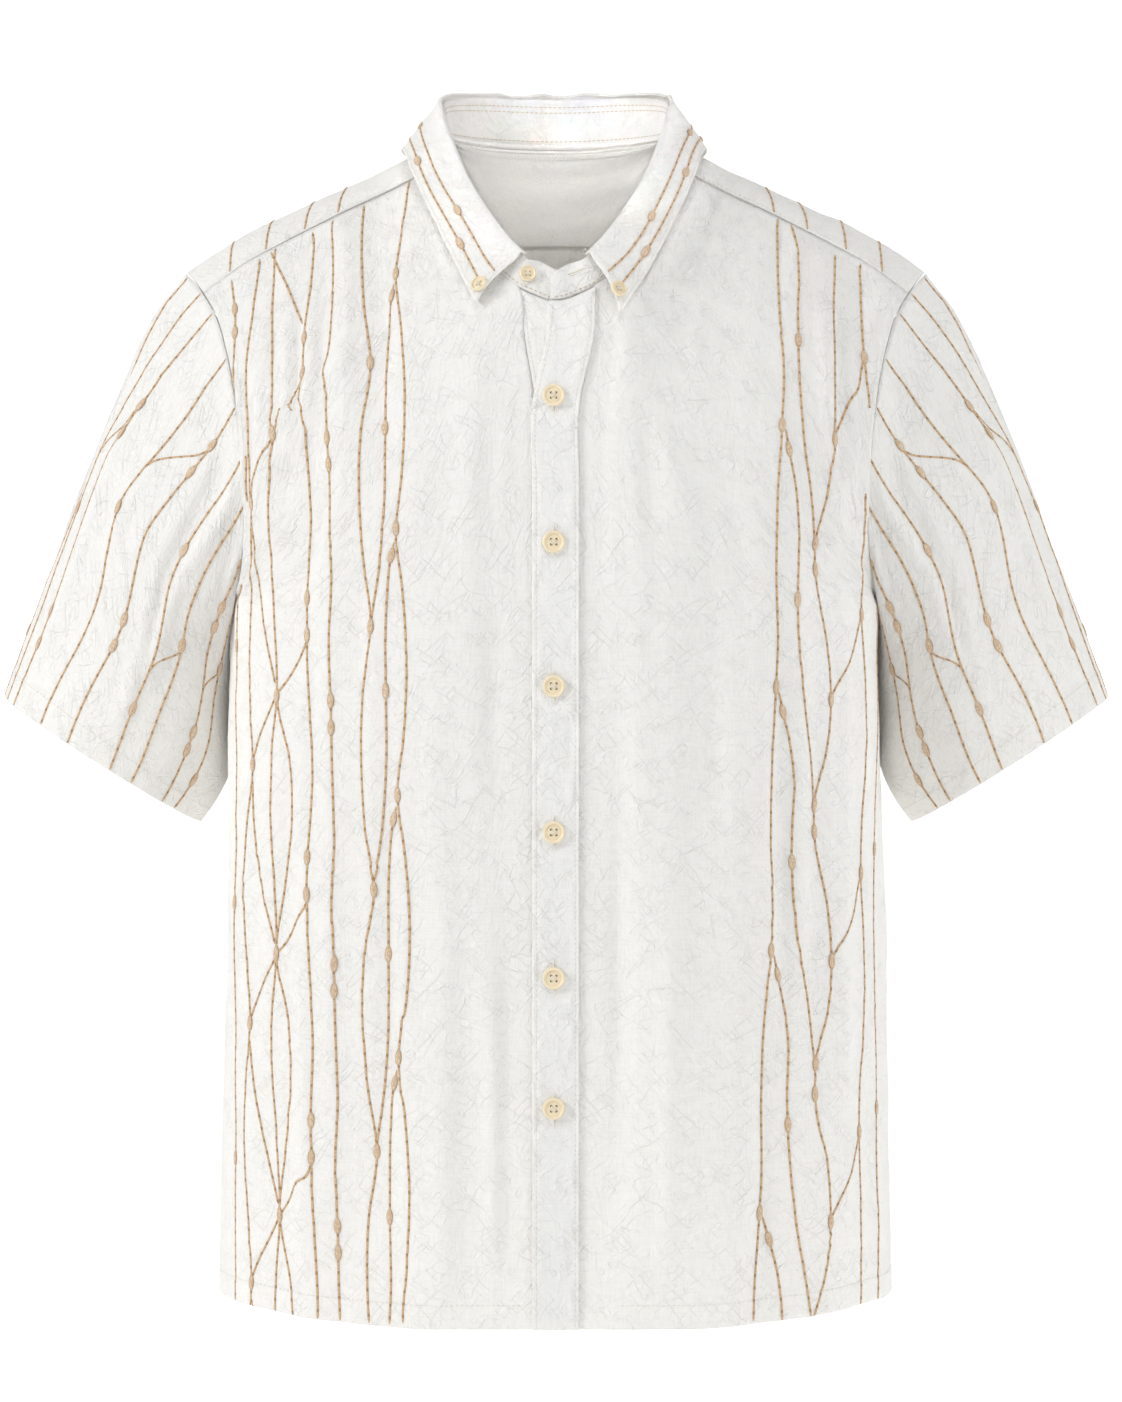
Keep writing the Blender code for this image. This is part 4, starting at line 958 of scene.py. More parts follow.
def stand_columns():
    """Lower and upper edge of the collar stand with its two front ends."""
    low = neck_loop()
    share = stand_share(low)
    half = len(low) // 2
    side = np.where(np.arange(len(low)) <= half, -1.0, 1.0)
    top = np.array([stand_top_point(a, b) for a, b in zip(share, side)])
    under = stand_end(STAND_END_UNDER)
    over = stand_end(STAND_END_OVER)
    low = np.vstack([under[0][::-1], low, over[0]])
    top = np.vstack([under[1][::-1], top, over[1]])
    return low, top


def stand_end(table):
    """Lower and upper points of one front end of the stand."""
    rows = np.asarray(table)
    low_z = through(FRONT_NECK, np.abs(rows[:, 0]))
    low_y = body_y(rows[:, 0], low_z, -1) + rows[:, 3]
    low = np.stack([rows[:, 0], low_y, low_z], axis=-1)
    top_y = low_y + 0.0085 - 0.0015 * np.arange(len(rows))
    top = np.stack([rows[:, 1], top_y, rows[:, 2]], axis=-1)
    return low, top


def collar_stand():
    """Surface of the collar stand, neck seam to top."""
    low, top = stand_columns()
    rise = top - low
    length = np.linalg.norm(rise, axis=1, keepdims=True)
    low = low + rise / length * (SEAM_GAP + 0.0003)
    rows = [low * (1 - t) + top * t for t in np.linspace(0, 1, 4)]
    return np.array(rows)


def collar_leaf():
    """Surface of the turned-down collar leaf, fold to outer edge."""
    share = np.concatenate([np.linspace(0, 1, 17), np.linspace(1, 0, 17)[1:]])
    side = np.where(np.arange(33) <= 16, -1.0, 1.0)
    columns = []
    for a, b in zip(share, side):
        fold = stand_top_point(a, b)
        edge = leaf_edge_point(a, b)
        away = edge - fold
        flat = np.array([away[0], away[1], 0.0])
        flat = flat / np.linalg.norm(flat)
        up = np.array([0.0, 0.0, 1.0])
        start = fold + up * 0.0032 + flat * 0.0008
        crest = fold + up * 0.0046 + flat * 0.0036
        turned = fold + flat * 0.0070 + up * 0.0004
        column = [start, crest, turned]
        for t in (0.25, 0.5, 0.75, 1.0):
            bulge = 0.0035 * math.sin(math.pi * t)
            column.append(turned * (1 - t) + edge * t + flat * bulge)
        columns.append(column)
    grid = np.array(columns).transpose(1, 0, 2)
    stand = dense(collar_stand())
    for _ in range(2):
        grid[2:] = lift_off(grid[2:], stand, 0.0042)
        for below in (front_panel(-1), front_panel(1), yoke_panel()):
            grid[3:] = lift_off(grid[3:], dense(below), 0.0036)
    return grid


def dense(grid, times=3):
    """Finer grid between the points of a grid."""
    for axis in (0, 1):
        count = grid.shape[axis]
        at = np.linspace(0, count - 1, (count - 1) * times + 1)
        low = np.minimum(at.astype(int), count - 2)
        share = (at - low).reshape([-1, 1, 1] if axis == 0 else [1, -1, 1])
        first = np.take(grid, low, axis=axis)
        grid = first * (1 - share) + np.take(grid, low + 1, axis=axis) * share
    return grid


def neck_tape(yoke):
    """Narrow strip inside the back neck, just under the stand seam."""
    span = slice(FRONT_COLUMNS + 4, -(FRONT_COLUMNS + 4))
    part = yoke[:3, span]
    out = outward(yoke)[:3, span]
    start = part[0] * 0.92 + part[1] * 0.08
    end = start + (part[1] - start) * 0.42
    away = out[0]
    rows = np.array([start, end]) - away[None] * (CLOTH + 2 * LAYER_GAP)
    return rows


def place_on(grid, x, z, lift, times=1):
    """Point and outward direction of a sheet at a place seen from the front."""
    fine = dense(grid, times) if times > 1 else grid
    out = outward(fine).reshape(-1, 3)
    points = fine.reshape(-1, 3)
    near = np.argmin((points[:, 0] - x) ** 2 + (points[:, 2] - z) ** 2)
    direction = Vector(out[near].tolist()).normalized()
    return Vector(points[near].tolist()) + direction * lift, direction


def hex_colour(text):
    """Linear colour of an sRGB hex value."""
    values = [int(text[i : i + 2], 16) / 255 for i in (1, 3, 5)]
    linear = [v / 12.92 if v <= 0.04045 else ((v + 0.055) / 1.055) ** 2.4 for v in values]
    return (*linear, 1.0)


def smooth_through(points, at, closed=False):
    """Smooth curves through rows of points, read at fractional row numbers."""
    if closed:
        points = np.concatenate([points, points[:1]])
    step = np.diff(points, axis=0)
    length = np.maximum(np.linalg.norm(step, axis=-1, keepdims=True), 1e-9)
    pace = step / length
    before = np.concatenate([pace[-1:] if closed else pace[:1], pace])
    after = np.concatenate([pace, pace[:1] if closed else pace[-1:]])
    size_before = np.concatenate([length[-1:] if closed else length[:1], length])
    size_after = np.concatenate([length, length[:1] if closed else length[-1:]])
    slope = (before * size_after + after * size_before) / (size_before + size_after)
    low = np.clip(at.astype(int), 0, len(points) - 2)
    t = (at - low)[:, None, None]
    first = (1 + 2 * t) * (1 - t) ** 2 * points[low] + t * (1 - t) ** 2 * length[low] * slope[low]
    last = t * t * (3 - 2 * t) * points[low + 1] + t * t * (t - 1) * length[low] * slope[low + 1]
    return first + last


def places(grid, axis, size, closed=False, fine=None):
    """Fractional places along a grid's axis, about size apart; fine names one finer stretch."""
    step = np.diff(np.concatenate([grid, np.take(grid, [0], axis)], axis) if closed else grid, axis=axis)
    length = np.linalg.norm(step, axis=-1).mean(axis=1 - axis)
    found = []
    for index, reach in enumerate(length):
        goal = fine[1] if fine and fine[0] == index else size
        count = max(2, int(round(reach / goal)))
        found.append(index + np.arange(count) / count)
    if not closed:
        found.append([len(length)])
    return np.concatenate(found)


def refine(name, grid, size_across, size_down, closed=False, fine=None):
    """Smooth fine grid through a coarse one, kept with the places of its points."""
    rows = places(grid, 0, size_down, fine=fine)
    columns = places(grid, 1, size_across, closed)
    tall = smooth_through(grid, rows)
    wide = smooth_through(tall.transpose(1, 0, 2), columns, closed).transpose(1, 0, 2)
    return {"name": name, "points": wide, "rows": rows, "columns": columns, "closed": closed}


def lengths(grid):
    """Distances across and along a grid, in metres, as two arrays of its shape."""
    across = np.linalg.norm(np.diff(grid, axis=1), axis=-1).mean(axis=0)
    down = np.linalg.norm(np.diff(grid, axis=0), axis=-1).mean(axis=1)
    u = np.concatenate([[0.0], np.cumsum(across)])
    v = np.concatenate([[0.0], np.cumsum(down)])
    return np.meshgrid(u, v)


def value_noise(u, v, size_u, size_v, seed, wrap=None):
    """Seeded smooth noise from -1 to 1; with wrap, u is a turn that closes on itself."""
    a = u * wrap if wrap else u / size_u + 50.0
    b = v / size_v + 50.0
    rng = np.random.RandomState(seed)
    wide = wrap if wrap else int(a.max()) + 2
    lattice = rng.uniform(-1, 1, (int(b.max()) + 2, wide))
    i = np.floor(a).astype(int)
    j = np.floor(b).astype(int)
    s = a - i
    t = b - j
    s = s * s * (3 - 2 * s)
    t = t * t * (3 - 2 * t)
    k = (i + 1) % wide
    i = i % wide
    low = lattice[j, i] * (1 - s) + lattice[j, k] * s
    high = lattice[j + 1, i] * (1 - s) + lattice[j + 1, k] * s
    return low * (1 - t) + high * t


def crinkles(u, v, height, seed):
    """Thin uneven creases, broken up, that cross each other at a slant."""
    total = 0.0 * u
    for turn, size, share in ((0.6, 0.010, 1.0), (-0.9, 0.012, 0.9), (0.15, 0.009, 0.5)):
        a = u * math.cos(turn) + v * math.sin(turn)
        b = v * math.cos(turn) - u * math.sin(turn)
        line = (1 - np.abs(value_noise(a, b, size, size * 4.5, seed))) ** 6
        patchy = ease(-0.1, 0.7, value_noise(u, v, 0.03, 0.04, seed + 40))
        total = total + share * line * patchy
        seed = seed + 1
    soft = value_noise(u, v, 0.015, 0.034, seed + 9)
    return height * (total + 0.7 * soft)


def drapes(u, v, seed):
    """Long low waves that hang down a panel."""
    wide = value_noise(u, v, 0.026, 0.21, seed)
    narrow = value_noise(u, v, 0.011, 0.12, seed + 3)
    return 0.0026 * wide + 0.0010 * narrow


def add_item(name, mesh):
    """Object of a mesh, put into the scene."""
    item = bpy.data.objects.new(name, mesh)
    bpy.context.scene.collection.objects.link(item)
    return item


def link_rings(faces, base, sides, count=2):
    """Faces that close rings of points into a solid, end to end."""
    for index in range(count - 1):
        low = base + index * sides
        for k in range(sides):
            n = (k + 1) % sides
            faces.append((low + k, low + n, low + sides + n, low + sides + k))
    top = base + (count - 1) * sides
    faces.append(tuple(base + k for k in range(sides - 1, -1, -1)))
    faces.append(tuple(top + k for k in range(sides)))


def cloth_mesh(piece, thickness, material):
    """Shell of cloth with its outer face on the points of a fine grid."""
    grid = piece["points"]
    closed = piece["closed"]
    rows, columns = grid.shape[:2]
    out = outward(grid, closed)
    piece["normals"] = out
    side = np.roll(grid, -1, axis=1) - grid
    up = np.roll(grid, -1, axis=0) - grid
    facing = np.sum(np.cross(side[:-1, :-1], up[:-1, :-1]) * out[:-1, :-1])
    last = columns if closed else columns - 1
    j, i = np.meshgrid(np.arange(rows - 1), np.arange(last), indexing="ij")
    k = (i + 1) % columns
    ring = [j * columns + i, j * columns + k, (j + 1) * columns + k, (j + 1) * columns + i]
    faces = np.stack(ring if facing > 0 else ring[::-1], axis=-1).reshape(-1, 4)
    mesh = bpy.data.meshes.new("shell_" + piece["name"])
    mesh.from_pydata(grid.reshape(-1, 3).tolist(), [], faces.tolist())
    u, v = lengths(grid)
    layer = mesh.uv_layers.new(name="threads")
    corners = faces.reshape(-1)
    across = u.reshape(-1)[corners].reshape(-1, 4)
    if closed:
        turn_back = across.max(axis=1, keepdims=True) - across > u.max() / 2
        across = np.where(turn_back, across + u.max() + 0.002, across)
    flat = np.stack([across.reshape(-1), v.reshape(-1)[corners]], axis=-1)
    layer.data.foreach_set("uv", flat.reshape(-1))
    mesh.materials.append(material)
    mesh.polygons.foreach_set("use_smooth", [True] * len(mesh.polygons))
    item = add_item("shell_" + piece["name"], mesh)
    wall = item.modifiers.new("wall", "SOLIDIFY")
    wall.thickness = thickness
    wall.offset = -1.0
    wall.use_even_offset = False
    piece["faces"] = faces
    piece["tree"] = None
    piece["object"] = item
    grids[piece["name"]] = piece
    return item


def dress(piece, thickness, material):
    """Make the shell of one cloth node, hang it on the root and hide the solid it stands for."""
    name = piece["name"]
    item = cloth_mesh(piece, thickness, material)
    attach(item, "root")
    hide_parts(name)
    return item


def loose_mesh(name, vertices, faces, material, along=None):
    """Mesh object from lists of points and faces, riding on the shirt."""
    mesh = bpy.data.meshes.new(name)
    mesh.from_pydata(vertices, [], faces)
    mesh.validate()
    if along is not None:
        layer = mesh.attributes.new("along", "FLOAT", "POINT")
        layer.data.foreach_set("value", along)
    mesh.materials.append(material)
    mesh.polygons.foreach_set("use_smooth", [True] * len(mesh.polygons))
    item = add_item(name, mesh)
    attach(item, "root")
    return item


def settle(name, points):
    """Nearest points of a shell and its smooth normals there."""
    piece = grids[name]
    flat = piece["points"].reshape(-1, 3)
    out = piece["normals"].reshape(-1, 3)
    if piece["tree"] is None:
        piece["tree"] = BVHTree.FromPolygons(flat.tolist(), piece["faces"].tolist())
    spots = []
    ways = []
    for point in points:
        near, _, index, _ = piece["tree"].find_nearest(Vector(point))
        corners = piece["faces"][index]
        weight = 1 / (np.linalg.norm(flat[corners] - np.array(near), axis=1) + 1e-6)
        way = (out[corners] * weight[:, None]).sum(axis=0)
        spots.append(np.array(near))
        ways.append(way / np.linalg.norm(way))
    return np.array(spots), np.array(ways)


def read_grid(name, rows, columns):
    """Points and normals of a shell at fractional rows and columns of its solid."""
    piece = grids[name]
    grid = piece["points"]
    out = piece["normals"]
    count = grid.shape[1]
    places_across = piece["columns"]
    fine_places = np.arange(count, dtype=float)
    if piece["closed"]:
        end = math.floor(places_across[-1]) + 1
        columns = np.mod(columns, end)
        places_across = np.append(places_across, end)
        fine_places = np.append(fine_places, count)
    r = np.interp(rows, piece["rows"], np.arange(grid.shape[0]))
    c = np.interp(columns, places_across, fine_places)
    low_r = np.minimum(r.astype(int), grid.shape[0] - 2)
    low_c = c.astype(int) if piece["closed"] else np.minimum(c.astype(int), count - 2)
    s = (r - low_r)[:, None]
    t = (c - low_c)[:, None]
    low_c = low_c % count
    next_c = (low_c + 1) % count
    spots = []
    for field in (grid, out):
        a = field[low_r, low_c] * (1 - t) + field[low_r, next_c] * t
        b = field[low_r + 1, low_c] * (1 - t) + field[low_r + 1, next_c] * t
        spots.append(a * (1 - s) + b * s)
    way = spots[1] / np.linalg.norm(spots[1], axis=1, keepdims=True)
    return spots[0], way


def evenly(points, ways, step):
    """Points and normals again at even steps along a path."""
    length = np.linalg.norm(np.diff(points, axis=0), axis=1)
    reach = np.concatenate([[0.0], np.cumsum(length)])
    count = max(2, int(round(reach[-1] / step)) + 1)
    at = np.linspace(0, reach[-1], count)
    spots = np.stack([np.interp(at, reach, points[:, k]) for k in range(3)], axis=-1)
    out = np.stack([np.interp(at, reach, ways[:, k]) for k in range(3)], axis=-1)
    return spots, out / np.linalg.norm(out, axis=1, keepdims=True), at


class Threads:
    """Collects raised threads, seeds and stitches for one mesh."""

    def __init__(self):
        self.vertices = []
        self.faces = []
        self.along = []

    def tube(self, points, ways, width, height, along=None, taper=True):
        """Low rounded thread that lies on the cloth along a path."""
        ahead = np.gradient(points, axis=0)
        ahead = ahead / np.maximum(np.linalg.norm(ahead, axis=1, keepdims=True), 1e-9)
        aside = np.cross(ahead, ways)
        aside = aside / np.maximum(np.linalg.norm(aside, axis=1, keepdims=True), 1e-9)
        profile = ((-0.5, 0.0), (-0.36, 0.72), (0.0, 1.0), (0.36, 0.72), (0.5, 0.0))
        base = len(self.vertices)
        last = len(points) - 1
        for index, point in enumerate(points):
            size = 0.45 if taper and index in (0, last) else 1.0
            for across, up in profile:
                rise = up * height * size - (SINK if up == 0.0 else 0.0)
                spot = point + aside[index] * across * width * size + ways[index] * rise
                self.vertices.append(tuple(spot))
                self.along.append(float(along[index]) if along is not None else 0.0)
        link_rings(self.faces, base, len(profile), len(points))

    def seed(self, centre, way, ahead, long=SEED_LONG, wide=SEED_WIDE, high=SEED_HIGH):
        """Padded satin-stitch seed: a pointed oval pillow on the cloth."""
        ahead = ahead - way * np.dot(ahead, way)
        ahead = ahead / np.linalg.norm(ahead)
        aside = np.cross(ahead, way)
        base = len(self.vertices)
        rings = 11
        ring = 10
        for index in range(rings):
            t = -1 + 2 * (index + 0.5) / rings
            size = (1 - abs(t) ** 2.3) ** 0.75
            for k in range(ring):
                angle = math.pi * k / (ring - 1)
                across = -math.cos(angle) * wide / 2 * size
                up = math.sin(angle) ** 0.8 * high * (0.35 + 0.65 * size) * min(1.0, size * 2.2)
                spot = centre + ahead * t * long / 2 + aside * across + way * (up - 0.0002)
                self.vertices.append(tuple(spot))
                # How near the rim a point lies; the seeds' material paints shade by it.
                self.along.append(max(abs(t), abs(math.cos(angle))))
        link_rings(self.faces, base, ring, rings)

    def dashes(self, points, ways, step=DASH_STEP, long=DASH_LONG, wide=DASH_WIDE, high=DASH_HIGH):
        """Row of single stitches along a path."""
        spots, out, at = evenly(points, ways, long / 2)
        start = 0.0
        while start + long < at[-1]:
            reach = start + np.array([0.0, 0.5, 1.0]) * long
            piece = np.stack([np.interp(reach, at, spots[:, k]) for k in range(3)], axis=-1)
            way = np.stack([np.interp(reach, at, out[:, k]) for k in range(3)], axis=-1)
            self.tube(piece, way, wide, high)
            start = start + step

    def finish(self, name, material):
        """Turn what was collected into one object."""
        return loose_mesh(name, self.vertices, self.faces, material, self.along)


def colour_setting(name, description, text):
    """Setting for one colour, given as an sRGB hex value."""
    default = hex_colour(text)[:3]
    return FloatVectorProperty(
        name=name, description=description, subtype="COLOR", size=3, min=0.0, max=1.0, default=default
    )


def length_setting(name, description, default, low, high):
    """Setting for one length in metres."""
    return FloatProperty(
        name=name, description=description, subtype="DISTANCE", unit="LENGTH",
        default=default, min=low, max=high,
    )


class ShirtSettings(bpy.types.PropertyGroup):
    """Sizes and colours of the shirt that a user would change."""

    cloth_colour: colour_setting("Cloth", "Bleached crinkled cotton", "#f7f5f1")
    thread_colour: colour_setting(
        "Embroidery thread", "Light part of the couched thread and the padded seeds", "#dabc96"
    )
    # Colour of the holding stitches, also used for the painted shade of the thread's twist and of the
    # seeds' rims.
    tick_and_shade_colour: colour_setting(
        "Holding stitches", "Darker stitches that hold the thread down", "#a8835c"
    )
    button_colour: colour_setting("Buttons", "Cream horn-coloured resin", "#f3e6cb")
    crinkle: length_setting(
        "Crinkle", "Height of the small uneven crinkles of the cloth", 0.00060, 0.0, 0.002
    )
    stem_width: length_setting("Stem width", "Width of one couched stem", 0.00165, 0.0005, 0.004)


def add_node(tree, kind, settings, inputs):
    """Add a node with its settings; each input is a value or the socket that feeds it."""
    node = tree.nodes.new(kind)
    for key, value in settings.items():
        setattr(node, key, value)
    for key, value in inputs.items():
        if isinstance(value, bpy.types.NodeSocket):
            tree.links.new(value, node.inputs[key])
        else:
            node.inputs[key].default_value = value
    return node.outputs


def coordinates(tree, kind):
    """Texture coordinates of one kind."""
    return add_node(tree, "ShaderNodeTexCoord", {}, {})[kind]


def along_thread(tree):
    """Way along a thread in metres, or how near the rim of a seed a point lies."""
    return add_node(tree, "ShaderNodeAttribute", {"attribute_name": "along"}, {})["Fac"]


def stretched(tree, vector, scale, kind="POINT", turn=(0.0, 0.0, 0.0)):
    """Coordinates stretched by a scale and turned."""
    inputs = {"Vector": vector, "Rotation": turn, "Scale": scale}
    return add_node(tree, "ShaderNodeMapping", {"vector_type": kind}, inputs)[0]


def noise(tree, vector, scale, detail, distortion=0.0):
    """Height of a cloudy noise."""
    inputs = {"Vector": vector, "Scale": scale, "Detail": detail, "Distortion": distortion}
    return add_node(tree, "ShaderNodeTexNoise", {}, inputs)[0]


def calc(tree, operation, *terms):
    """Result of one sum; each term is a number or a socket."""
    return add_node(tree, "ShaderNodeMath", {"operation": operation}, dict(enumerate(terms)))[0]


def between(tree, value, low, high, start=0.0, end=1.0, curve="LINEAR"):
    """Value brought from the stretch low to high to the stretch start to end."""
    inputs = {"Value": value, "From Min": low, "From Max": high, "To Min": start, "To Max": end}
    return add_node(tree, "ShaderNodeMapRange", {"interpolation_type": curve}, inputs)[0]


def solid(colour):
    """Colour with its alpha, or the socket it comes from."""
    return colour if isinstance(colour, bpy.types.NodeSocket) else (*colour[:3], 1.0)


def blend(tree, share, first, second):
    """Colour between two colours, each of which may come from a socket."""
    inputs = {0: share, 6: solid(first), 7: solid(second)}
    return add_node(tree, "ShaderNodeMix", {"data_type": "RGBA"}, inputs)[2]


def bump(tree, height, strength, distance, **more):
    """Normal of a bumpy surface."""
    inputs = {"Height": height, "Strength": strength, "Distance": distance, **more}
    return add_node(tree, "ShaderNodeBump", {}, inputs)[0]


def shaded(colour, *shares):
    """Colour with each part scaled."""
    return tuple(part * share for part, share in zip(colour, shares))


def new_material(name, roughness, sheen=0.0, specular=0.3):
    """Principled material and its node tree; even values sit on the shader itself."""
    material = bpy.data.materials.new(name)
    material.use_nodes = True
    shader = material.node_tree.nodes["Principled BSDF"]
    shader.inputs["Roughness"].default_value = roughness
    shader.inputs["Sheen Weight"].default_value = sheen
    shader.inputs["Sheen Roughness"].default_value = 0.5
    shader.inputs["Specular IOR Level"].default_value = specular
    return material, material.node_tree, shader


def crinkled_cotton(name, settings, shade=1.0):
    """Bleached cotton, woven with slubby yarn, then washed and wrung dry.

    It is matt. The uneven yarn shows as faint streaks both ways, and the wringing
    leaves small sharp creases at a slant.
    """
    material, tree, shader = new_material(name, 0.92, sheen=0.08, specular=0.2)
    shader.inputs["Subsurface Weight"].default_value = 0.35
    shader.inputs["Subsurface Radius"].default_value = (0.0045, 0.0040, 0.0034)
    shader.inputs["Subsurface Scale"].default_value = 1.0
    place = coordinates(tree, "UV")
    # Threads are 0.35 mm apart; they are drawn as 1.2 mm wide streaks to show
    streaks = []
    for scale in ((850.0, 70.0, 1.0), (70.0, 850.0, 1.0)):
        streaks.append(noise(tree, stretched(tree, place, scale), 1.0, 3.0))
    weave = calc(tree, "ADD", *streaks)
    # Wrung creases are 8 to 20 mm long and a thread or two wide
    lines = []
    for turn, wide, long in ((0.7, 0.007, 0.028), (-0.9, 0.008, 0.024), (0.1, 0.006, 0.02)):
        space = stretched(tree, place, (wide, long, 1.0), "TEXTURE", (0.0, 0.0, turn))
        away = calc(tree, "SUBTRACT", noise(tree, space, 1.0, 1.5, 0.5), 0.5)
        away = calc(tree, "ABSOLUTE", away)
        lines.append(between(tree, away, 0.0, 0.045, 1.0, 0.0, "SMOOTHSTEP"))
    patchy = between(tree, noise(tree, place, 60.0, 2.0), 0.36, 0.56)
    shown = calc(tree, "MULTIPLY", calc(tree, "ADD", lines[0], lines[1]), patchy)
    wring = calc(tree, "MULTIPLY_ADD", lines[2], 0.4, shown)
    streak = between(tree, weave, 0.7, 1.2)
    mottled = calc(tree, "MULTIPLY_ADD", noise(tree, place, 9.0, 3.0), 0.4, streak)
    # The weave streaks and mottling are the cloth's own uneven tone; the wrung creases add a painted
    # highlight that makes each crease lighter.
    tone_and_crease_highlight = calc(tree, "MULTIPLY_ADD", wring, 0.5, mottled)
    # The shade factor lifts the whole cloth's colour: the front bands are painted 5 % lighter with it as
    # painted light, and the neck tape 2 % lighter.
    tone = [min(1.0, part * shade) for part in settings.cloth_colour]
    colour = blend(tree, tone_and_crease_highlight, shaded(tone, 0.93, 0.92, 0.905), tone)
    tree.links.new(colour, shader.inputs["Base Color"])
    fine = bump(tree, weave, 0.5, 0.0005)
    rough = bump(tree, wring, 0.75, 0.0005, Normal=fine)
    tree.links.new(rough, shader.inputs["Normal"])
    return material


def couched_thread(settings):
    """Mercerised cotton thread, laid on the cloth and held down by small stitches.

    It has a soft satin gloss, and each holding stitch shows as a darker tick.
    """
    material, tree, shader = new_material("couched_mercerised_cotton", 0.62, sheen=0.1, specular=0.35)
    along = along_thread(tree)
    tick = calc(tree, "PINGPONG", along, TICK_STEP / 2)
    dark_tick = between(tree, tick, TICK_STEP * 0.10, TICK_STEP * 0.16, 1.0, 0.0)
    # Besides the real darker holding stitches, the thread darkens towards the tick colour along each ply:
    # painted shade of the twist.
    turn = calc(tree, "PINGPONG", along, PLY)
    share = calc(tree, "MAXIMUM", dark_tick, between(tree, turn, 0.0, PLY, 0.10, 0.45))
    colour = blend(tree, share, settings.thread_colour, settings.tick_and_shade_colour)
    tree.links.new(colour, shader.inputs["Base Color"])
    tree.links.new(bump(tree, turn, 0.4, 0.0002), shader.inputs["Normal"])
    return material


def satin_stitch(settings):
    """Padded satin stitch of mercerised cotton, its needle holes showing as fine dots."""
    material, tree, shader = new_material("satin_stitched_cotton", 0.6, sheen=0.1, specular=0.35)
    place = coordinates(tree, "Object")
    slant = stretched(tree, place, (1700.0, 1700.0, 620.0), turn=(0.0, 0.6, 0.0))
    dots = noise(tree, slant, 1.0, 1.0)
    light = [0.6 * part + 0.4 * 0.82 for part in settings.thread_colour]
    dark = [a * 0.6 + b * 0.4 for a, b in zip(settings.thread_colour, settings.tick_and_shade_colour)]
    colour = blend(tree, between(tree, dots, 0.38, 0.66), dark, light)
    # Each seed darkens towards its rim: painted shade of the padded dome.
    rim = between(tree, along_thread(tree), 0.66, 1.0, 0.0, 0.8)
    rim_shaded_colour = blend(tree, rim, colour, settings.tick_and_shade_colour)
    tree.links.new(rim_shaded_colour, shader.inputs["Base Color"])
    tree.links.new(bump(tree, dots, 0.5, 0.0003), shader.inputs["Normal"])
    return material


def sewing_thread(name, text):
    """Spun polyester sewing thread, slightly glossy, in one colour with a faint twist."""
    material, tree, shader = new_material(name, 0.7, specular=0.3)
    twist = noise(tree, coordinates(tree, "Object"), 2400.0, 1.0)
    base = hex_colour(text)
    colour = blend(tree, twist, shaded(base, 0.86, 0.86, 0.86), base)
    tree.links.new(colour, shader.inputs["Base Color"])
    return material


def horn_resin(settings):
    """Cast polyester resin in a horn colour, tumbled, so glossy with cloudy streaks."""
    material, tree, shader = new_material("cast_horn_resin", 0.32, specular=0.5)
    shader.inputs["IOR"].default_value = 1.54
    shader.inputs["Coat Weight"].default_value = 0.2
    shader.inputs["Coat Roughness"].default_value = 0.2
    stretch = stretched(tree, coordinates(tree, "Object"), (90.0, 260.0, 420.0))
    cloud = noise(tree, stretch, 1.0, 3.0, 0.6)
    base = settings.button_colour
    pale = [min(1.0, part * 1.06) for part in base]
    colour = blend(tree, cloud, shaded(base, 0.94, 0.89, 0.80), pale)
    tree.links.new(colour, shader.inputs["Base Color"])
    return material


def seen_glow(tree, socket, glow, seen):
    """Set a strength that is greater for the camera than for the light on the shirt."""
    camera_ray = add_node(tree, "ShaderNodeLightPath", {}, {})["Is Camera Ray"]
    tree.links.new(calc(tree, "MULTIPLY_ADD", camera_ray, seen, glow), socket)


def matt_paper(name, text):
    """Matt seamless background paper."""
    material, tree, shader = new_material(name, 0.95, specular=0.1)
    grain = noise(tree, coordinates(tree, "Object"), 3.0, 2.0)
    base = hex_colour(text)
    colour = blend(tree, grain, shaded(base, 0.99, 0.99, 0.99), base)
    tree.links.new(colour, shader.inputs["Base Color"])
    shader.inputs["Emission Color"].default_value = (1.0, 1.0, 1.0, 1.0)
    seen_glow(tree, shader.inputs["Emission Strength"], BACKDROP_GLOW, PAPER_SEEN)
    return material


class ShirtOperator:
    """What every step of the shirt shares."""

    bl_options = {"REGISTER"}

    def settings(self, context):
        """Sizes and colours chosen in the panel."""
        return context.scene.shirt_settings


def aim(item, target):
    """Turn a light to face a point."""
    away = Vector(target) - item.location
    item.rotation_euler = away.to_track_quat("-Z", "Y").to_euler()


def soft_light(name, place, target, size, power, spread, colour):
    """Soft square studio light that the camera doesn't see."""
    data = bpy.data.lights.new(name, "AREA")
    data.shape = "RECTANGLE"
    data.size = size[0]
    data.size_y = size[1]
    data.energy = power
    data.color = colour
    data.spread = math.radians(spread)
    item = bpy.data.objects.new(name, data)
    item.visible_camera = False
    item.location = place
    bpy.context.scene.collection.objects.link(item)
    aim(item, target)


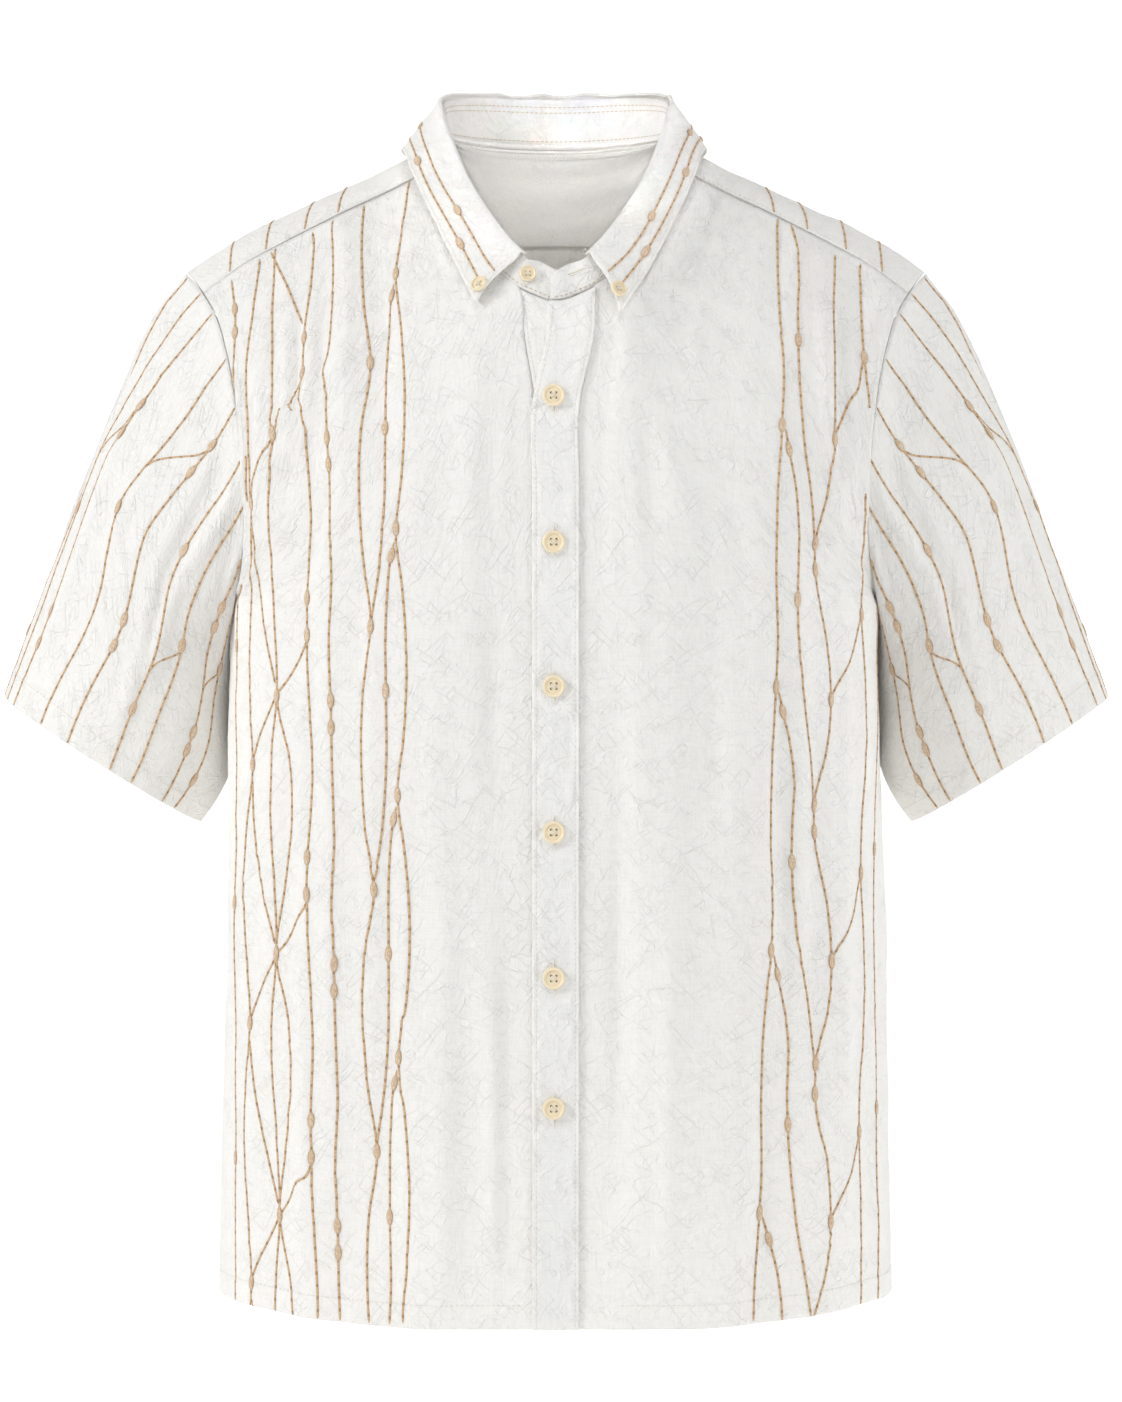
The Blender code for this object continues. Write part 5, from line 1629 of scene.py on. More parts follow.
class SHIRT_OT_stage(ShirtOperator, bpy.types.Operator):
    """Camera, soft lights and a pale paper sweep"""

    bl_idname = "shirt.stage"
    bl_label = "Stage"

    def execute(self, context):
        scene = context.scene
        data = bpy.data.cameras.new("camera")
        data.sensor_width = SENSOR
        data.lens = SENSOR * CAMERA_AWAY / VIEW_HEIGHT
        camera = bpy.data.objects.new("camera", data)
        camera.location = (CAMERA_X, -CAMERA_AWAY, CAMERA_Z)
        camera.rotation_euler = (math.pi / 2, 0.0, 0.0)
        scene.collection.objects.link(camera)
        scene.camera = camera
        for row in LIGHTS:
            soft_light(*row)
        world = bpy.data.worlds.new("studio")
        world.use_nodes = True
        sky = world.node_tree.nodes["Background"]
        sky.inputs["Color"].default_value = (1.0, 0.995, 0.985, 1.0)
        seen_glow(world.node_tree, sky.inputs["Strength"], WORLD_LIGHT, WORLD_SEEN)
        scene.world = world
        scene.view_settings.view_transform = "Standard"
        self.sweep()
        return {"FINISHED"}

    def sweep(self):
        """Floor that curves up into a back wall, in one sheet of paper."""
        line = [(PAPER_FRONT_Y, FLOOR_Z), (BACK_Y - BEND, FLOOR_Z)]
        for k in range(1, BEND_STEPS + 1):
            angle = k / BEND_STEPS * math.pi / 2
            line.append((BACK_Y - BEND + BEND * math.sin(angle), FLOOR_Z + BEND - BEND * math.cos(angle)))
        line.append((BACK_Y, PAPER_TOP_Z))
        vertices = [(x, y, z) for y, z in line for x in (-PAPER_HALF, PAPER_HALF)]
        faces = [(2 * k, 2 * k + 1, 2 * k + 3, 2 * k + 2) for k in range(len(line) - 1)]
        mesh = bpy.data.meshes.new("paper_sweep")
        mesh.from_pydata(vertices, [], faces)
        mesh.polygons.foreach_set("use_smooth", [True] * len(faces))
        mesh.materials.append(matt_paper("matt_white_paper", "#f4f4f3"))
        add_item("paper_sweep", mesh)


def bell(value, centre, width):
    """One at the centre, falling off smoothly to both sides."""
    return np.exp(-(((value - centre) / width) ** 2))


def hem_relief(reach, band):
    """Turned-up hem: a slightly thicker band with a groove where it is stitched."""
    lift = 0.00035 * (1 - ease(band - 0.0006, band + 0.0012, reach))
    return lift - 0.00028 * bell(reach, band, 0.0013)


def hem_waves(reach, u, band, seed):
    """Slack between the stitches that makes a stitched hem ripple a little."""
    ripple = value_noise(u, reach, 0.0065, 0.03, seed)
    return 0.0003 * ripple * bell(reach, band * 0.55, band)


def raise_points(piece, lift):
    """Move a fine grid out along its normals."""
    grid = piece["points"]
    piece["points"] = grid + outward(grid, piece["closed"]) * lift[..., None]


def column_share(piece):
    """Share of the way across each column, and down each row, as two arrays."""
    rows = piece["rows"] / piece["rows"][-1]
    columns = piece["columns"] / piece["columns"][-1]
    return np.meshgrid(columns, rows)


def front_solid(side):
    """Coarse front as the solid has it."""
    folds = FOLDS_RIGHT if side < 0 else FOLDS_LEFT
    grid = front_panel(side)
    lift = fold_heights(grid, folds, side) * edge_window(grid.shape[:2], 0.2, 0.1, 0.2)
    grid = grid + outward(grid) * lift[..., None]
    return inset(grid, 0.0, SEAM_GAP / 2, 0.0, SEAM_GAP / 2)


class SHIRT_OT_fronts(ShirtOperator, bpy.types.Operator):
    """Two fronts with their folds, crinkles and hem"""

    bl_idname = "shirt.fronts"
    bl_label = "Fronts"

    def execute(self, context):
        settings = self.settings(context)
        for side, name in ((-1, "front_right"), (1, "front_left")):
            piece = refine(name, front_solid(side), *CELLS["front"], fine=(0, HEM_CELL))
            grid = piece["points"]
            u, v = lengths(grid)
            s, t = column_share(piece)
            creases = CREASES_RIGHT if side < 0 else CREASES_LEFT
            lift = CREASE_GAIN * fold_heights(grid, creases, side)
            lift = lift + crinkles(u, v, settings.crinkle, SEED + 10 * side)
            lift = lift + drapes(u, v, SEED + 20 * side + 60)
            lift = lift * ease(0.0, 0.010, u - 0.014) * ease(0, 0.035, 1 - s) * ease(0, 0.02, 1 - t)
            lift = lift * (0.5 + 0.5 * ease(0.0, 0.06, v))
            lift = lift + hem_relief(v, BODY_HEM) + hem_waves(v, u, BODY_HEM, SEED + side)
            raise_points(piece, lift)
            material = crinkled_cotton("crinkled_cotton_" + name, settings)
            dress(piece, SHELL, material)
        return {"FINISHED"}


class SHIRT_OT_back(ShirtOperator, bpy.types.Operator):
    """Back with its folds, crinkles and hem"""

    bl_idname = "shirt.back"
    bl_label = "Back"

    def execute(self, context):
        settings = self.settings(context)
        grid = back_panel()
        lift = fold_heights(grid, FOLDS_BACK) * edge_window(grid.shape[:2], 0.1, 0.1, 0.2)
        grid = grid + outward(grid) * lift[..., None]
        gap = SEAM_GAP / 2
        grid = inset(grid, 0.0, gap, gap, gap)
        piece = refine("back", grid, *CELLS["back"], fine=(0, HEM_CELL))
        grid = piece["points"]
        u, v = lengths(grid)
        s, t = column_share(piece)
        lift = fold_heights(grid, CREASES_BACK) + fold_heights(grid, CREASES_BACK, -1.0)
        lift = CREASE_GAIN * lift
        lift = lift + crinkles(u, v, settings.crinkle, SEED + 30) + drapes(u, v, SEED + 33)
        lift = lift * ease(0, 0.02, s) * ease(0, 0.02, 1 - s) * ease(0, 0.02, 1 - t)
        lift = lift * (0.5 + 0.5 * ease(0.0, 0.06, v))
        lift = lift + hem_relief(v, BODY_HEM) + hem_waves(v, u, BODY_HEM, SEED + 4)
        raise_points(piece, lift)
        dress(piece, SHELL, crinkled_cotton("crinkled_cotton_back", settings))
        return {"FINISHED"}


class SHIRT_OT_yoke(ShirtOperator, bpy.types.Operator):
    """Yoke over both shoulders"""

    bl_idname = "shirt.yoke"
    bl_label = "Yoke"

    def execute(self, context):
        settings = self.settings(context)
        gap = SEAM_GAP / 2
        piece = refine("yoke", inset(yoke_panel(), gap, gap, gap, gap), *CELLS["yoke"])
        u, v = lengths(piece["points"])
        s, t = column_share(piece)
        lift = crinkles(u, v, settings.crinkle, SEED + 50) + 0.6 * drapes(v, u, SEED + 55)
        lift = lift * ease(0, 0.04, s) * ease(0, 0.04, 1 - s) * ease(0, 0.08, t) * ease(0, 0.08, 1 - t)
        raise_points(piece, lift)
        dress(piece, SHELL, crinkled_cotton("crinkled_cotton_yoke", settings))
        return {"FINISHED"}


def crease_turns(piece, table):
    """Long creases of a sleeve, given by their turn and how far they run."""
    end = piece["end"]
    turn = piece["columns"][None, :] / end
    v = (piece["rows"] / SLEEVE_ROWS)[:, None]
    total = np.zeros(piece["points"].shape[:2])
    for place, low, high, width, height, drift in table:
        away = np.abs(turn - (place + drift * (v - 0.4)) + 0.5) % 1.0 - 0.5
        fade = ease(low - 0.08, low + 0.12, v) * ease(high + 0.10, high - 0.15, v)
        total = total + height * fade * np.exp(-((away / width) ** 2))
    return total


def beside_body(grid):
    """One where a sleeve hangs free, falling to nought where it lies near the body."""
    near = ease(-0.270, -0.300, grid[..., 2]) * ease(0.252, 0.222, np.abs(grid[..., 0]))
    return 1 - near


class SHIRT_OT_sleeves(ShirtOperator, bpy.types.Operator):
    """Two short sleeves with long folds and turned hems"""

    bl_idname = "shirt.sleeves"
    bl_label = "Sleeves"

    def execute(self, context):
        settings = self.settings(context)
        yoke = yoke_panel()
        for side, name in ((-1, "sleeve_right"), (1, "sleeve_left")):
            grid = sleeve_solid(side, yoke)
            hem = (grid.shape[0] - 2, SLEEVE_HEM_CELL)
            piece = refine(name, grid, *CELLS["sleeve"], closed=True, fine=hem)
            piece["end"] = grid.shape[1]
            fine = piece["points"]
            v = lengths(fine)[1]
            turn = piece["columns"][None, :] / piece["end"] + 0 * v
            reach = v.max() - v
            lift = CREASE_GAIN * crease_turns(piece, CREASES_SLEEVE)
            lift = lift + sleeve_crinkles(turn, v, settings.crinkle, SEED + 70 + 5 * side)
            lift = lift * ease(0.0, 0.02, v) * (0.45 + 0.55 * ease(0.0, 0.05, reach))
            lift = lift + hem_relief(reach, SLEEVE_HEM)
            ripple = 0.0003 * value_noise(turn, v, 1.0, 0.02, SEED + 3 + side, wrap=70)
            lift = lift + ripple * bell(reach, 0.009, 0.012)
            lift = lift * beside_body(fine)
            raise_points(piece, lift)
            dress(piece, SHELL, crinkled_cotton("crinkled_cotton_" + name, settings))
        return {"FINISHED"}


def sleeve_crinkles(turn, v, height, seed):
    """Crinkles of a sleeve, on a turn that closes on itself."""
    total = 0.0 * turn
    for slope, cells, share in ((1.9, 38, 1.0), (-2.3, 30, 0.9), (0.4, 52, 0.5)):
        line = (1 - np.abs(value_noise(turn + slope * v, v, 1.0, 0.028, seed, wrap=cells))) ** 5
        patchy = ease(-0.1, 0.7, value_noise(turn, v, 1.0, 0.04, seed + 40, wrap=14))
        total = total + share * line * patchy
        seed = seed + 1
    soft = value_noise(turn, v, 1.0, 0.034, seed + 9, wrap=30)
    long = value_noise(turn, v, 1.0, 0.16, seed + 12, wrap=22)
    return height * (total + 0.7 * soft) + 0.0008 * long


def sleeve_solid(side, yoke):
    """Coarse sleeve as the solid has it."""
    grid = sleeve_panel(side, yoke)
    grid = grid + outward(grid, True) * sleeve_folds(grid, side)[..., None]
    step = grid[1] - grid[0]
    length = np.linalg.norm(step, axis=1, keepdims=True)
    grid[0] = grid[0] + step / length * (SEAM_GAP + 0.0004)
    flip = np.array([side, 1.0, 1.0])
    return clear_of_body(grid * flip, 0.0010) * flip


class SHIRT_OT_collar(ShirtOperator, bpy.types.Operator):
    """Collar stand, turned-down leaf and the tape inside the neck"""

    bl_idname = "shirt.collar"
    bl_label = "Collar"

    def execute(self, context):
        settings = self.settings(context)
        stand = refine("collar_stand", collar_stand(), *CELLS["stand"])
        u, v = lengths(stand["points"])
        s = column_share(stand)[0]
        ends = ease(0, 0.10, s) * ease(0, 0.10, 1 - s)
        lift = 0.00022 * value_noise(u, v, 0.009, 0.03, SEED + 80) * ends
        raise_points(stand, lift)
        dress(stand, COLLAR_SHELL, crinkled_cotton("fused_cotton_stand", settings))
        leaf = refine("collar_leaf", collar_leaf(), *CELLS["leaf"])
        u, v = lengths(leaf["points"])
        s, t = column_share(leaf)
        behind = ease(0.20, 0.34, s) * ease(0.20, 0.34, 1 - s)
        puckers = value_noise(u, v, 0.0105, 0.05, SEED + 83)
        lift = 0.0013 * puckers * behind * (1 - ease(0.10, 0.42, t))
        soft = value_noise(u, v, 0.016, 0.012, SEED + 84)
        lift = lift + 0.0003 * soft * ease(0.25, 0.5, t) * ease(0, 0.05, s) * ease(0, 0.05, 1 - s)
        edge = np.minimum(np.minimum(s, 1 - s) * u.max(), (v.max() - v))
        lift = lift - 0.00022 * bell(edge, 0.0052, 0.0012) * ease(0.25, 0.4, t)
        raise_points(leaf, lift)
        dress(leaf, COLLAR_SHELL, crinkled_cotton("fused_cotton_leaf", settings))
        tape = refine("neck_tape", neck_tape(yoke_panel()), *CELLS["tape"])
        dress(tape, TAPE_SHELL, crinkled_cotton("cotton_tape", settings, 1.02))
        return {"FINISHED"}


class SHIRT_OT_plackets(ShirtOperator, bpy.types.Operator):
    """Buttonhole band and button band down the centre front"""

    bl_idname = "shirt.plackets"
    bl_label = "Plackets"

    def execute(self, context):
        settings = self.settings(context)
        for name, grid, wall in (
            ("placket_upper", upper_placket(), COLLAR_SHELL),
            ("placket_under", under_placket(), SHELL),
        ):
            piece = refine(name, grid, *CELLS["placket"])
            u, v = lengths(piece["points"])
            t = column_share(piece)[1]
            rows = np.minimum(u, u.max() - u)
            pucker = value_noise(u, v, 0.020, 0.0085, SEED + 90)
            slack = bell(rows, 0.0052, 0.0030)
            lift = 0.0015 * pucker * (0.25 + 0.75 * slack)
            lift = lift - 0.00022 * bell(rows, 0.0026, 0.0009)
            ends = ease(0, 0.004, rows) * ease(0, 0.02, t) * ease(0, 0.02, 1 - t)
            raise_points(piece, lift * ends)
            # The bands' cloth is painted lighter than the fronts: painted light.
            dress(piece, wall, crinkled_cotton("fused_cotton_" + name, settings, 1.05))
        return {"FINISHED"}


def armhole_limit(z, back):
    """Greatest x of a panel at a height, inside its armhole or side seam."""
    table = np.asarray(BACK_ARMHOLE if back else FRONT_ARMHOLE)
    above = through(np.column_stack([table[:, 1], table[:, 0]]), z)
    return np.where(z > UNDERARM_Z, above - 0.0035, through(HALF_WIDTH, z) - 0.0022)


def strand_points(drift, chart, repeat):
    """Points of one strand in one repeat, as x and z."""
    points = np.array(chart)
    points[:, 0] = points[:, 0] + np.linspace(*np.broadcast_to(drift, 2), len(points)) * repeat
    points[:, 1] = points[:, 1] - REPEAT * repeat
    return points


def strand_paths(drift, runs_on, repeats, chart):
    """Smooth paths of a strand down a panel, as x and z."""
    if runs_on:
        paths = [np.vstack([strand_points(drift, chart, k) for k in range(-1, repeats)])]
    else:
        paths = [strand_points(drift, chart, k) for k in range(repeats)]
    smooth = []
    for path in paths:
        at = np.linspace(0, len(path) - 1, len(path) * 14)
        smooth.append(smooth_through(path[:, None, :], at)[:, 0, :])
    return smooth


def panel_embroidery(name, side, back, strands, threads, seeds, width):
    """Strands and seeds of one chart, laid on one panel."""
    seam = back_seam_z if back else front_seam_z
    for number, (drift, runs_on, start, repeats, chart, marks) in enumerate(strands):
        for turn, path in enumerate(strand_paths(drift, runs_on, repeats, chart)):
            x, z = path.T
            kept = (z < np.minimum(start, seam(x) - 0.0015)) & (z > STEMS_END_Z)
            if kept.sum() < 6:
                continue
            x = np.minimum(x, armhole_limit(z, back))
            line = np.stack([side * x, body_y(x, z, 1 if back else -1), z], axis=-1)[kept]
            points, ways, at = evenly(*settle(name, line), STEM_STEP)
            threads.tube(points, ways, width, STEM_HIGH, at + 0.0013 * number)
            rounds = range(-1, 5) if runs_on else [turn]
            low = max(points[:, 2].min() + 0.004, SEEDS_END_Z)
            high = points[:, 2].max() - 0.004
            for z in [first - k * REPEAT for first in marks for k in rounds]:
                if low < z < high:
                    near = int(np.argmin(np.abs(points[:, 2] - z)))
                    ahead = points[min(near + 2, len(points) - 1)] - points[max(near - 2, 0)]
                    seeds.seed(points[near], ways[near], ahead)


def stem_turn(row, v):
    """Turn of a sleeve stem at each share of the way down."""
    start, stop, sway, first, _ = row
    return start + (stop - start) * v + sleeve_sway(sway, first, v)


def sleeve_embroidery(name, threads, seeds, width):
    """Stems, seeds and short links that run down one sleeve."""
    end = grids[name]["end"]
    v = np.linspace(0.004, 0.998, STEM_SAMPLES)
    last = STEM_SAMPLES - 1
    for number, row in enumerate(STEMS_SLEEVE):
        points, ways = read_grid(name, v * SLEEVE_ROWS, stem_turn(row, v) * end)
        spots, out, at = evenly(points, ways, STEM_STEP)
        threads.tube(spots, out, width, STEM_HIGH, at + 0.0017 * number)
        first, gap = row[3:]
        for k in range(3):
            for place in [first + k * SLEEVE_REPEAT, first + gap + k * SLEEVE_REPEAT][: 2 if gap else 1]:
                if place > 0.90:
                    continue
                near = int(round(place * last))
                ahead = points[min(near + 2, last)] - points[near - 2]
                seeds.seed(points[near], ways[near], ahead)
    for number in SLEEVE_LINKS:
        row = STEMS_SLEEVE[number]
        link = row[3] + LINK_REACH * np.linspace(0, 1, 44)
        share = ease(0.0, 1.0, (link - row[3]) / LINK_REACH)
        turn = stem_turn(row, link) * (1 - share) + stem_turn(STEMS_SLEEVE[number + 1], link) * share
        spots, out, at = evenly(*read_grid(name, link * SLEEVE_ROWS, turn * end), STEM_STEP)
        threads.tube(spots, out, width * 0.85, STEM_HIGH * 0.9, at)


def sleeve_sway(sway, first, v):
    """Sideways bow of a sleeve stem between its seeds, in turns."""
    return sway * (1 - np.cos(2 * math.pi * (v - first) / SLEEVE_REPEAT)) / 2


def yoke_embroidery(threads, no_seeds, width):
    """Stems that cross the yoke from the fronts to the back, with no seeds on them."""
    for side in (-1, 1):
        for number, (front_x, back_x) in enumerate(STEMS_YOKE):
            t = np.linspace(0, 1, 90)
            x = front_x + (back_x - front_x) * t + 0.002 * np.sin(4 * t + number)
            start = -math.sqrt(float(through(FRONT_YOKE_DROP, front_x)) / RIDGE_DROP) + 0.012
            stop = float(ridge_q(back_x, back_seam_z(back_x))) - 0.012
            line = yoke_point(side * x, start + (stop - start) * t)
            points, ways, at = evenly(*settle("yoke", line), STEM_STEP)
            threads.tube(points, ways, width, STEM_HIGH, at)


def leaf_embroidery(threads, seeds, width):
    """Stems that run along the collar leaf from tip to tip."""
    for share, marks in STEMS_LEAF:
        column = np.linspace(0.25, 31.75, 500)
        wave = 0.10 * np.sin(column * 0.9 + 3 * share)
        points, ways = read_grid("collar_leaf", 2 + 4 * share + wave, column)
        spots, out, at = evenly(points, ways, STEM_STEP)
        threads.tube(spots, out, width, STEM_HIGH, at)
        for mark in marks:
            for place in (mark * 16, 32 - mark * 15):
                near = int(np.argmin(np.abs(column - place)))
                seeds.seed(points[near], ways[near], points[near + 2] - points[near - 2])


class SHIRT_OT_embroidery(ShirtOperator, bpy.types.Operator):
    """Couched stems and padded seeds on every embroidered piece"""

    bl_idname = "shirt.embroidery"
    bl_label = "Embroidery"

    def execute(self, context):
        settings = self.settings(context)
        thread = couched_thread(settings)
        satin = satin_stitch(settings)
        for name, slim, *lays in (
            ("front_right", 1.0, partial(panel_embroidery, "front_right", -1, False, STRANDS_RIGHT)),
            ("front_left", 1.0, partial(panel_embroidery, "front_left", 1, False, STRANDS_LEFT)),
            ("back", 1.0, partial(panel_embroidery, "back", -1, True, STRANDS_RIGHT),
             partial(panel_embroidery, "back", 1, True, STRANDS_LEFT)),
            ("sleeve_right", 0.92, partial(sleeve_embroidery, "sleeve_right")),
            ("sleeve_left", 0.92, partial(sleeve_embroidery, "sleeve_left")),
            ("yoke", 0.95, yoke_embroidery),
            ("collar", 0.85, leaf_embroidery),
        ):
            threads = Threads()
            seeds = Threads()
            for lay in lays:
                lay(threads, seeds, settings.stem_width * slim)
            threads.finish("stems_" + name, thread)
            if seeds.vertices:
                seeds.finish("seeds_" + name, satin)
        return {"FINISHED"}


def seam_line(name, span, row=None, column=None, inner=0.0):
    """Path along one row or column of a solid's grid, on its outer or inner face."""
    low, high = span
    at = np.linspace(low, high, int(abs(high - low) * 14) + 8)
    rows = at if row is None else np.full(len(at), row)
    columns = at if column is None else np.full(len(at), column)
    points, ways = read_grid(name, rows, columns)
    if inner:
        return points - ways * inner, -ways
    return points, ways


class SHIRT_OT_topstitching(ShirtOperator, bpy.types.Operator):
    """Rows of small stitches at hems, bands, yoke and collar"""

    bl_idname = "shirt.topstitching"
    bl_label = "Topstitching"

    def execute(self, context):
        white = Threads()
        for name, row, low, high in WHITE_ROWS:
            white.dashes(*seam_line(name, (low, high), row=row))
        for name, column, low, high in WHITE_COLUMNS:
            white.dashes(*seam_line(name, (low, high), column=column))
        white.finish("stitches_white", sewing_thread("spun_thread_white", "#efebe2"))
        tan = Threads()
        count = grids["collar_stand"]["columns"][-1]
        for row in TAN_ROWS:
            tan.dashes(*seam_line("collar_stand", (3.3, count - 3.3), row=row, inner=COLLAR_SHELL))
        tan.dashes(*seam_line("collar_stand", (0.1, count - 0.1), row=0.30))
        tan.finish("stitches_tan", sewing_thread("spun_thread_tan", "#cdb48c"))
        return {"FINISHED"}


def slot_loop(centre, way, ahead, long, wide):
    """Slim closed loop round a buttonhole."""
    aside = np.cross(ahead, way)
    angle = np.linspace(0, 2 * math.pi, 41)
    reach = np.sign(np.cos(angle)) * np.abs(np.cos(angle)) ** 0.35 * long / 2
    out = np.sign(np.sin(angle)) * np.abs(np.sin(angle)) ** 0.6 * wide / 2
    return centre + reach[:, None] * ahead + out[:, None] * aside


class SHIRT_OT_buttonholes(ShirtOperator, bpy.types.Operator):
    """Worked buttonholes on the front band, the stand and the collar tips"""

    bl_idname = "shirt.buttonholes"
    bl_label = "Buttonholes"

    def execute(self, context):
        worked = Threads()
        slits = Threads()
        spots = [("placket_upper", BAND_BUTTON_X, z, (0.0, 0.0, 1.0), HOLE_LONG) for z in BUTTON_Z]
        spots.append(("collar_stand", *STAND_HOLE, SMALL_HOLE_LONG))
        for _, x, z, ahead in TIP_BUTTONS:
            spots.append(("collar_leaf", x, z, ahead, SMALL_HOLE_LONG))
        for name, x, z, ahead, long in spots:
            centre, way = map(np.array, place_on(grids[name]["points"], x, z, 0.0))
            ahead = np.array(ahead) - way * np.dot(np.array(ahead), way)
            ahead = ahead / np.linalg.norm(ahead)
            loop = slot_loop(centre, way, ahead, long, HOLE_WIDE)
            worked.tube(*settle(name, loop), 0.0011, 0.00035, taper=False)
            line = centre + np.linspace(-0.40, 0.40, 9)[:, None] * long * ahead
            slits.tube(*settle(name, line), 0.0008, 0.00012)
        worked.finish("buttonhole_stitches", sewing_thread("buttonhole_twist", "#f6f3ec"))
        slits.finish("buttonhole_slits", sewing_thread("shaded_cotton", "#d8d0c2"))
        return {"FINISHED"}


def rounded_profile(radius, thick):
    """Outline of half a button, from its back to the middle of its face."""
    rows = [(0.0, 0.0), (radius * 0.78, 0.0)]
    for k in range(5):
        angle = -math.pi / 2 + k * math.pi / 8
        out = radius * 0.90 + radius * 0.10 * math.cos(angle)
        rows.append((out, thick * (0.34 + 0.34 * math.sin(angle))))
    for k in range(1, 6):
        angle = k * math.pi / 5
        out = radius * 0.88 + radius * 0.12 * math.cos(angle)
        rows.append((out, thick * (0.70 + 0.30 * math.sin(angle))))
    rows.extend(((radius * 0.68, thick * 0.50), (radius * 0.60, thick * 0.58), (0.0, thick * 0.60)))
    return rows


def button_mesh(name, radius, material):
    """Turned button with a rounded rim, a shallow dish and four drilled holes."""
    points = [(x, 0.0, z) for x, z in rounded_profile(radius, BUTTON_THICK)]
    mesh = bpy.data.meshes.new(name)
    mesh.from_pydata(points, [(i, i + 1) for i in range(len(points) - 1)], [])
    mesh.materials.append(material)
    item = add_item(name, mesh)
    turn = item.modifiers.new("turn", "SCREW")
    turn.axis = "Z"
    turn.steps = 48
    turn.render_steps = 48
    turn.use_merge_vertices = True
    turn.merge_threshold = 0.00001
    turn.use_normal_calculate = True
    turn.use_smooth_shade = True
    tool = drill(name + "_drill", radius)
    holes = item.modifiers.new("holes", "BOOLEAN")
    holes.operation = "DIFFERENCE"
    holes.solver = "EXACT"
    holes.object = tool
    bpy.context.view_layer.update()
    shaped = item.evaluated_get(bpy.context.evaluated_depsgraph_get())
    done = bpy.data.meshes.new_from_object(shaped)
    item.modifiers.clear()
    item.data = done
    bpy.data.objects.remove(tool, do_unlink=True)
    done.polygons.foreach_set("use_smooth", [True] * len(done.polygons))
    done.set_sharp_from_angle(angle=math.radians(40))
    return item


def drill(name, radius):
    """Four round pins that cut the holes of one button."""
    vertices = []
    faces = []
    away = radius * HOLE_AWAY
    pin = radius * 0.115
    sides = 12
    for sx, sy in BUTTON_HOLES:
        base = len(vertices)
        for z in (-0.002, BUTTON_THICK + 0.002):
            for k in range(sides):
                angle = k * 2 * math.pi / sides
                x = sx * away + pin * math.cos(angle)
                vertices.append((x, sy * away + pin * math.sin(angle), z))
        link_rings(faces, base, sides)
    mesh = bpy.data.meshes.new(name)
    mesh.from_pydata(vertices, [], faces)
    return add_item(name, mesh)


def button_thread(threads, centre, facing, radius):
    """Two strands of thread that cross between the four holes."""
    tilt = Vector(facing).to_track_quat("Z", "Y")
    away = radius * 0.25
    for sx, sy in ((1, 1), (1, -1)):
        t = np.linspace(-1, 1, 11)
        top = BUTTON_THICK * 0.64 + 0.0002 - 0.0010 * np.abs(t) ** 6
        local = [Vector((sx * a * away, sy * a * away, b)) for a, b in zip(t, top)]
        points = np.array([np.array(tilt @ p) for p in local]) + np.array(centre)
        ways = np.repeat(np.array(facing)[None], len(points), axis=0)
        threads.tube(points, ways, 0.0008, 0.0005)


def hole_floors(shade, centre, facing, radius):
    """Shaded cloth seen at the bottom of the four holes of a button."""
    tilt = Vector(facing).to_track_quat("Z", "Y")
    sides = 8
    for sx, sy in BUTTON_HOLES:
        base = len(shade.vertices)
        for z in (0.0004, BUTTON_THICK * 0.40):
            for k in range(sides):
                angle = k * 2 * math.pi / sides
                across = radius * (HOLE_AWAY * sx + 0.14 * math.cos(angle))
                up = radius * (HOLE_AWAY * sy + 0.14 * math.sin(angle))
                shade.vertices.append(tuple(tilt @ Vector((across, up, z)) + Vector(centre)))
                shade.along.append(0.0)
        link_rings(shade.faces, base, sides)


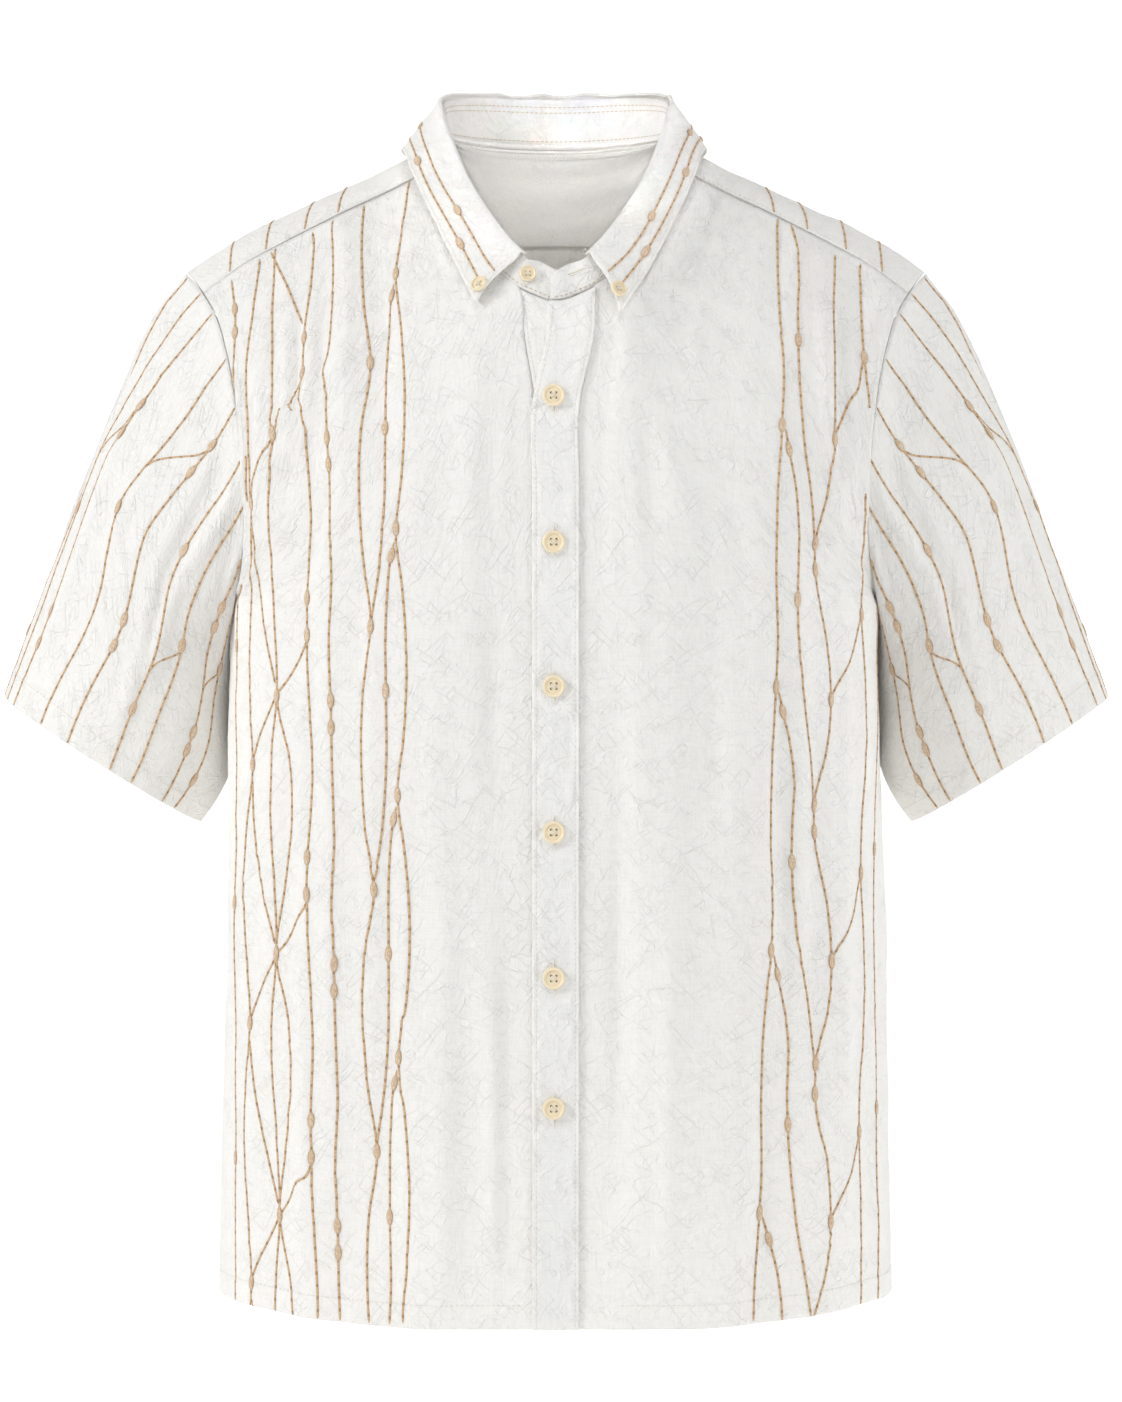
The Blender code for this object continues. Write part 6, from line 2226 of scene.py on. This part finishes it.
class SHIRT_OT_buttons(ShirtOperator, bpy.types.Operator):
    """Nine turned resin buttons, sewn on with crossed thread"""

    bl_idname = "shirt.buttons"
    bl_label = "Buttons"

    def execute(self, context):
        settings = self.settings(context)
        spots = []
        upper = upper_placket()
        for index, z in enumerate(BUTTON_Z):
            spots.append(("front_%d" % (index + 1), upper, BAND_BUTTON_X, z, BUTTON_RADIUS))
        spots.append(("stand", collar_stand(), *STAND_BUTTON, SMALL_BUTTON_RADIUS))
        leaf = collar_leaf()
        for name, x, z, _ in TIP_BUTTONS:
            spots.append(("collar_" + name, leaf, x, z, SMALL_BUTTON_RADIUS))
        horn = horn_resin(settings)
        threads = Threads()
        shade = Threads()
        for name, grid, x, z, radius in spots:
            centre, facing = place_on(grid, x, z, BUTTON_GAP, 8)
            item = button_mesh("turned_button_" + name, radius, horn)
            tilt = facing.to_track_quat("Z", "Y").to_matrix().to_4x4()
            tilt.translation = centre
            item.data.transform(tilt)
            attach(item, "root")
            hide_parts("button_" + name)
            button_thread(threads, centre, facing, radius)
            hole_floors(shade, centre, facing, radius)
        shade.finish("button_hole_floors", sewing_thread("shaded_hole", "#6f4f2c"))
        threads.finish("button_threads", sewing_thread("button_thread", "#f4eee0"))
        return {"FINISHED"}


class SHIRT_PT_panel(bpy.types.Panel):
    """Steps that dress the shirt, in order"""

    bl_label = "Embroidered shirt"
    bl_idname = "SHIRT_PT_panel"
    bl_space_type = "VIEW_3D"
    bl_region_type = "UI"
    bl_category = "Shirt"

    def draw(self, context):
        layout = self.layout
        settings = context.scene.shirt_settings
        for name in ("cloth_colour", "thread_colour", "tick_and_shade_colour", "button_colour"):
            layout.prop(settings, name)
        for name in ("crinkle", "stem_width"):
            layout.prop(settings, name)
        for step in STEPS:
            layout.operator(step.bl_idname)


STEPS = (
    SHIRT_OT_stage,
    SHIRT_OT_fronts,
    SHIRT_OT_back,
    SHIRT_OT_yoke,
    SHIRT_OT_sleeves,
    SHIRT_OT_collar,
    SHIRT_OT_plackets,
    SHIRT_OT_embroidery,
    SHIRT_OT_topstitching,
    SHIRT_OT_buttonholes,
    SHIRT_OT_buttons,
)
CLASSES = (ShirtSettings, *STEPS, SHIRT_PT_panel)


def register():
    """Register the classes and the scene's settings."""
    for item in CLASSES:
        bpy.utils.register_class(item)
    bpy.types.Scene.shirt_settings = PointerProperty(type=ShirtSettings)


def unregister():
    """Remove the classes and the scene's settings."""
    del bpy.types.Scene.shirt_settings
    for item in reversed(CLASSES):
        bpy.utils.unregister_class(item)


def main():
    """Dress the shirt."""
    register()
    bpy.ops.shirt.stage()
    bpy.ops.shirt.fronts()
    bpy.ops.shirt.back()
    bpy.ops.shirt.yoke()
    bpy.ops.shirt.sleeves()
    bpy.ops.shirt.collar()
    bpy.ops.shirt.plackets()
    bpy.ops.shirt.embroidery()
    bpy.ops.shirt.topstitching()
    bpy.ops.shirt.buttonholes()
    bpy.ops.shirt.buttons()


if __name__ == "__main__":
    main()
